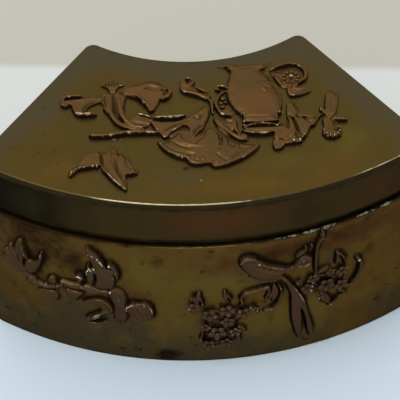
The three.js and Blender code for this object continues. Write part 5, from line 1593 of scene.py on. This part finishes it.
# Floor, light and camera
studioLook = {
    "nearColour": tone(198, 212, 221),
    "farColour": tone(202, 204, 199),
    "backColour": tone(182, 179, 167),
    "backLine": (0.0834, -0.076, 0.002),   # metres behind the box's middle, slant, half its softness
    "paleRange": (-0.02, 0.07),            # metres over which near turns to far
    "floorReach": 4.0,
    "floorRoughness": 0.8,
    "floorSpecular": 0.2,
    "worldColour": tone(236, 238, 240),
    "worldStrength": 1.1,
    "keyPower": 3.4,
    "keySize": 0.7,
    "keyPlace": (-0.35, -0.2, 1.2),
    "sidePower": 1.8,
    "sideSize": 0.09,
    "sidePlace": (-0.5, -0.35, 0.9),
}


def makeStudio():
    look, reach = studioLook, studioLook["floorReach"]
    mesh = bpy.data.meshes.new("studioFloor")
    corners = [(x * reach, y * reach, 0) for x, y in ((-1, -1), (1, -1), (1, 1), (-1, 1))]
    mesh.from_pydata(corners, [], [(0, 1, 2, 3)])
    floor = sceneObject("studioFloor", mesh)
    material = bpy.data.materials.new("paleStudioFloor")
    material.use_nodes = True
    tree = material.node_tree
    shader = next(n for n in tree.nodes if n.type == "BSDF_PRINCIPLED")
    split = tree.nodes.new("ShaderNodeSeparateXYZ")
    feed(tree, split.inputs["Vector"], objectPoint(tree))
    line, slant, soft = look["backLine"]
    level = minus(tree, split.outputs["Y"], times(tree, split.outputs["X"], slant))
    pale = blend(tree, remap(tree, level, *look["paleRange"]), look["nearColour"], look["farColour"])
    color = blend(tree, remap(tree, level, line - soft, line + soft), pale, look["backColour"])
    for label, value in (("Base Color", color), ("Roughness", look["floorRoughness"]),
                         ("Specular IOR Level", look["floorSpecular"])):
        feed(tree, shader.inputs[label], value)
    mesh.materials.append(material)

    world = bpy.data.worlds.new("softStudio")
    bpy.context.scene.world = world
    world.use_nodes = True
    sky = next(n for n in world.node_tree.nodes if n.type == "BACKGROUND")
    sky.inputs["Color"].default_value = look["worldColour"]
    sky.inputs["Strength"].default_value = look["worldStrength"]
    for name in ("key", "side"):
        lamp = bpy.data.lights.new(name + "Light", "AREA")
        lamp.energy, lamp.size = look[name + "Power"], look[name + "Size"]
        light = sceneObject(name + "Light", lamp)
        light.location = look[name + "Place"]
        light.rotation_euler = (-Vector(light.location)).to_track_quat("-Z", "Y").to_euler()


cameraLook = {
    "place": (-0.01213, -0.45800, 0.53208),
    "turn": 0.02512,
    "down": 0.82965,
    "roll": -0.02849,
    "lens": 225.0,
    "sensor": 36,
    "nearest": 0.01,
}


def makeCamera():
    turn, down, roll = cameraLook["turn"], cameraLook["down"], cameraLook["roll"]
    forward = Vector((math.sin(turn) * math.cos(down), math.cos(turn) * math.cos(down), -math.sin(down)))
    level = Vector((math.cos(turn), -math.sin(turn), 0))
    upright = level.cross(forward)
    right = level * math.cos(roll) + upright * math.sin(roll)
    up = upright * math.cos(roll) - level * math.sin(roll)
    camera = sceneObject("photoCamera", bpy.data.cameras.new("photoCamera"))
    camera.data.lens = cameraLook["lens"]
    camera.data.sensor_width = cameraLook["sensor"]
    camera.data.clip_start = cameraLook["nearest"]
    turned = Matrix((right, up, -forward)).transposed().to_4x4()
    camera.matrix_world = Matrix.Translation(cameraLook["place"]) @ turned
    bpy.context.scene.camera = camera


makeStudio()
makeCamera()
bpy.context.scene.view_settings.view_transform = "Standard"
print("studio ready")
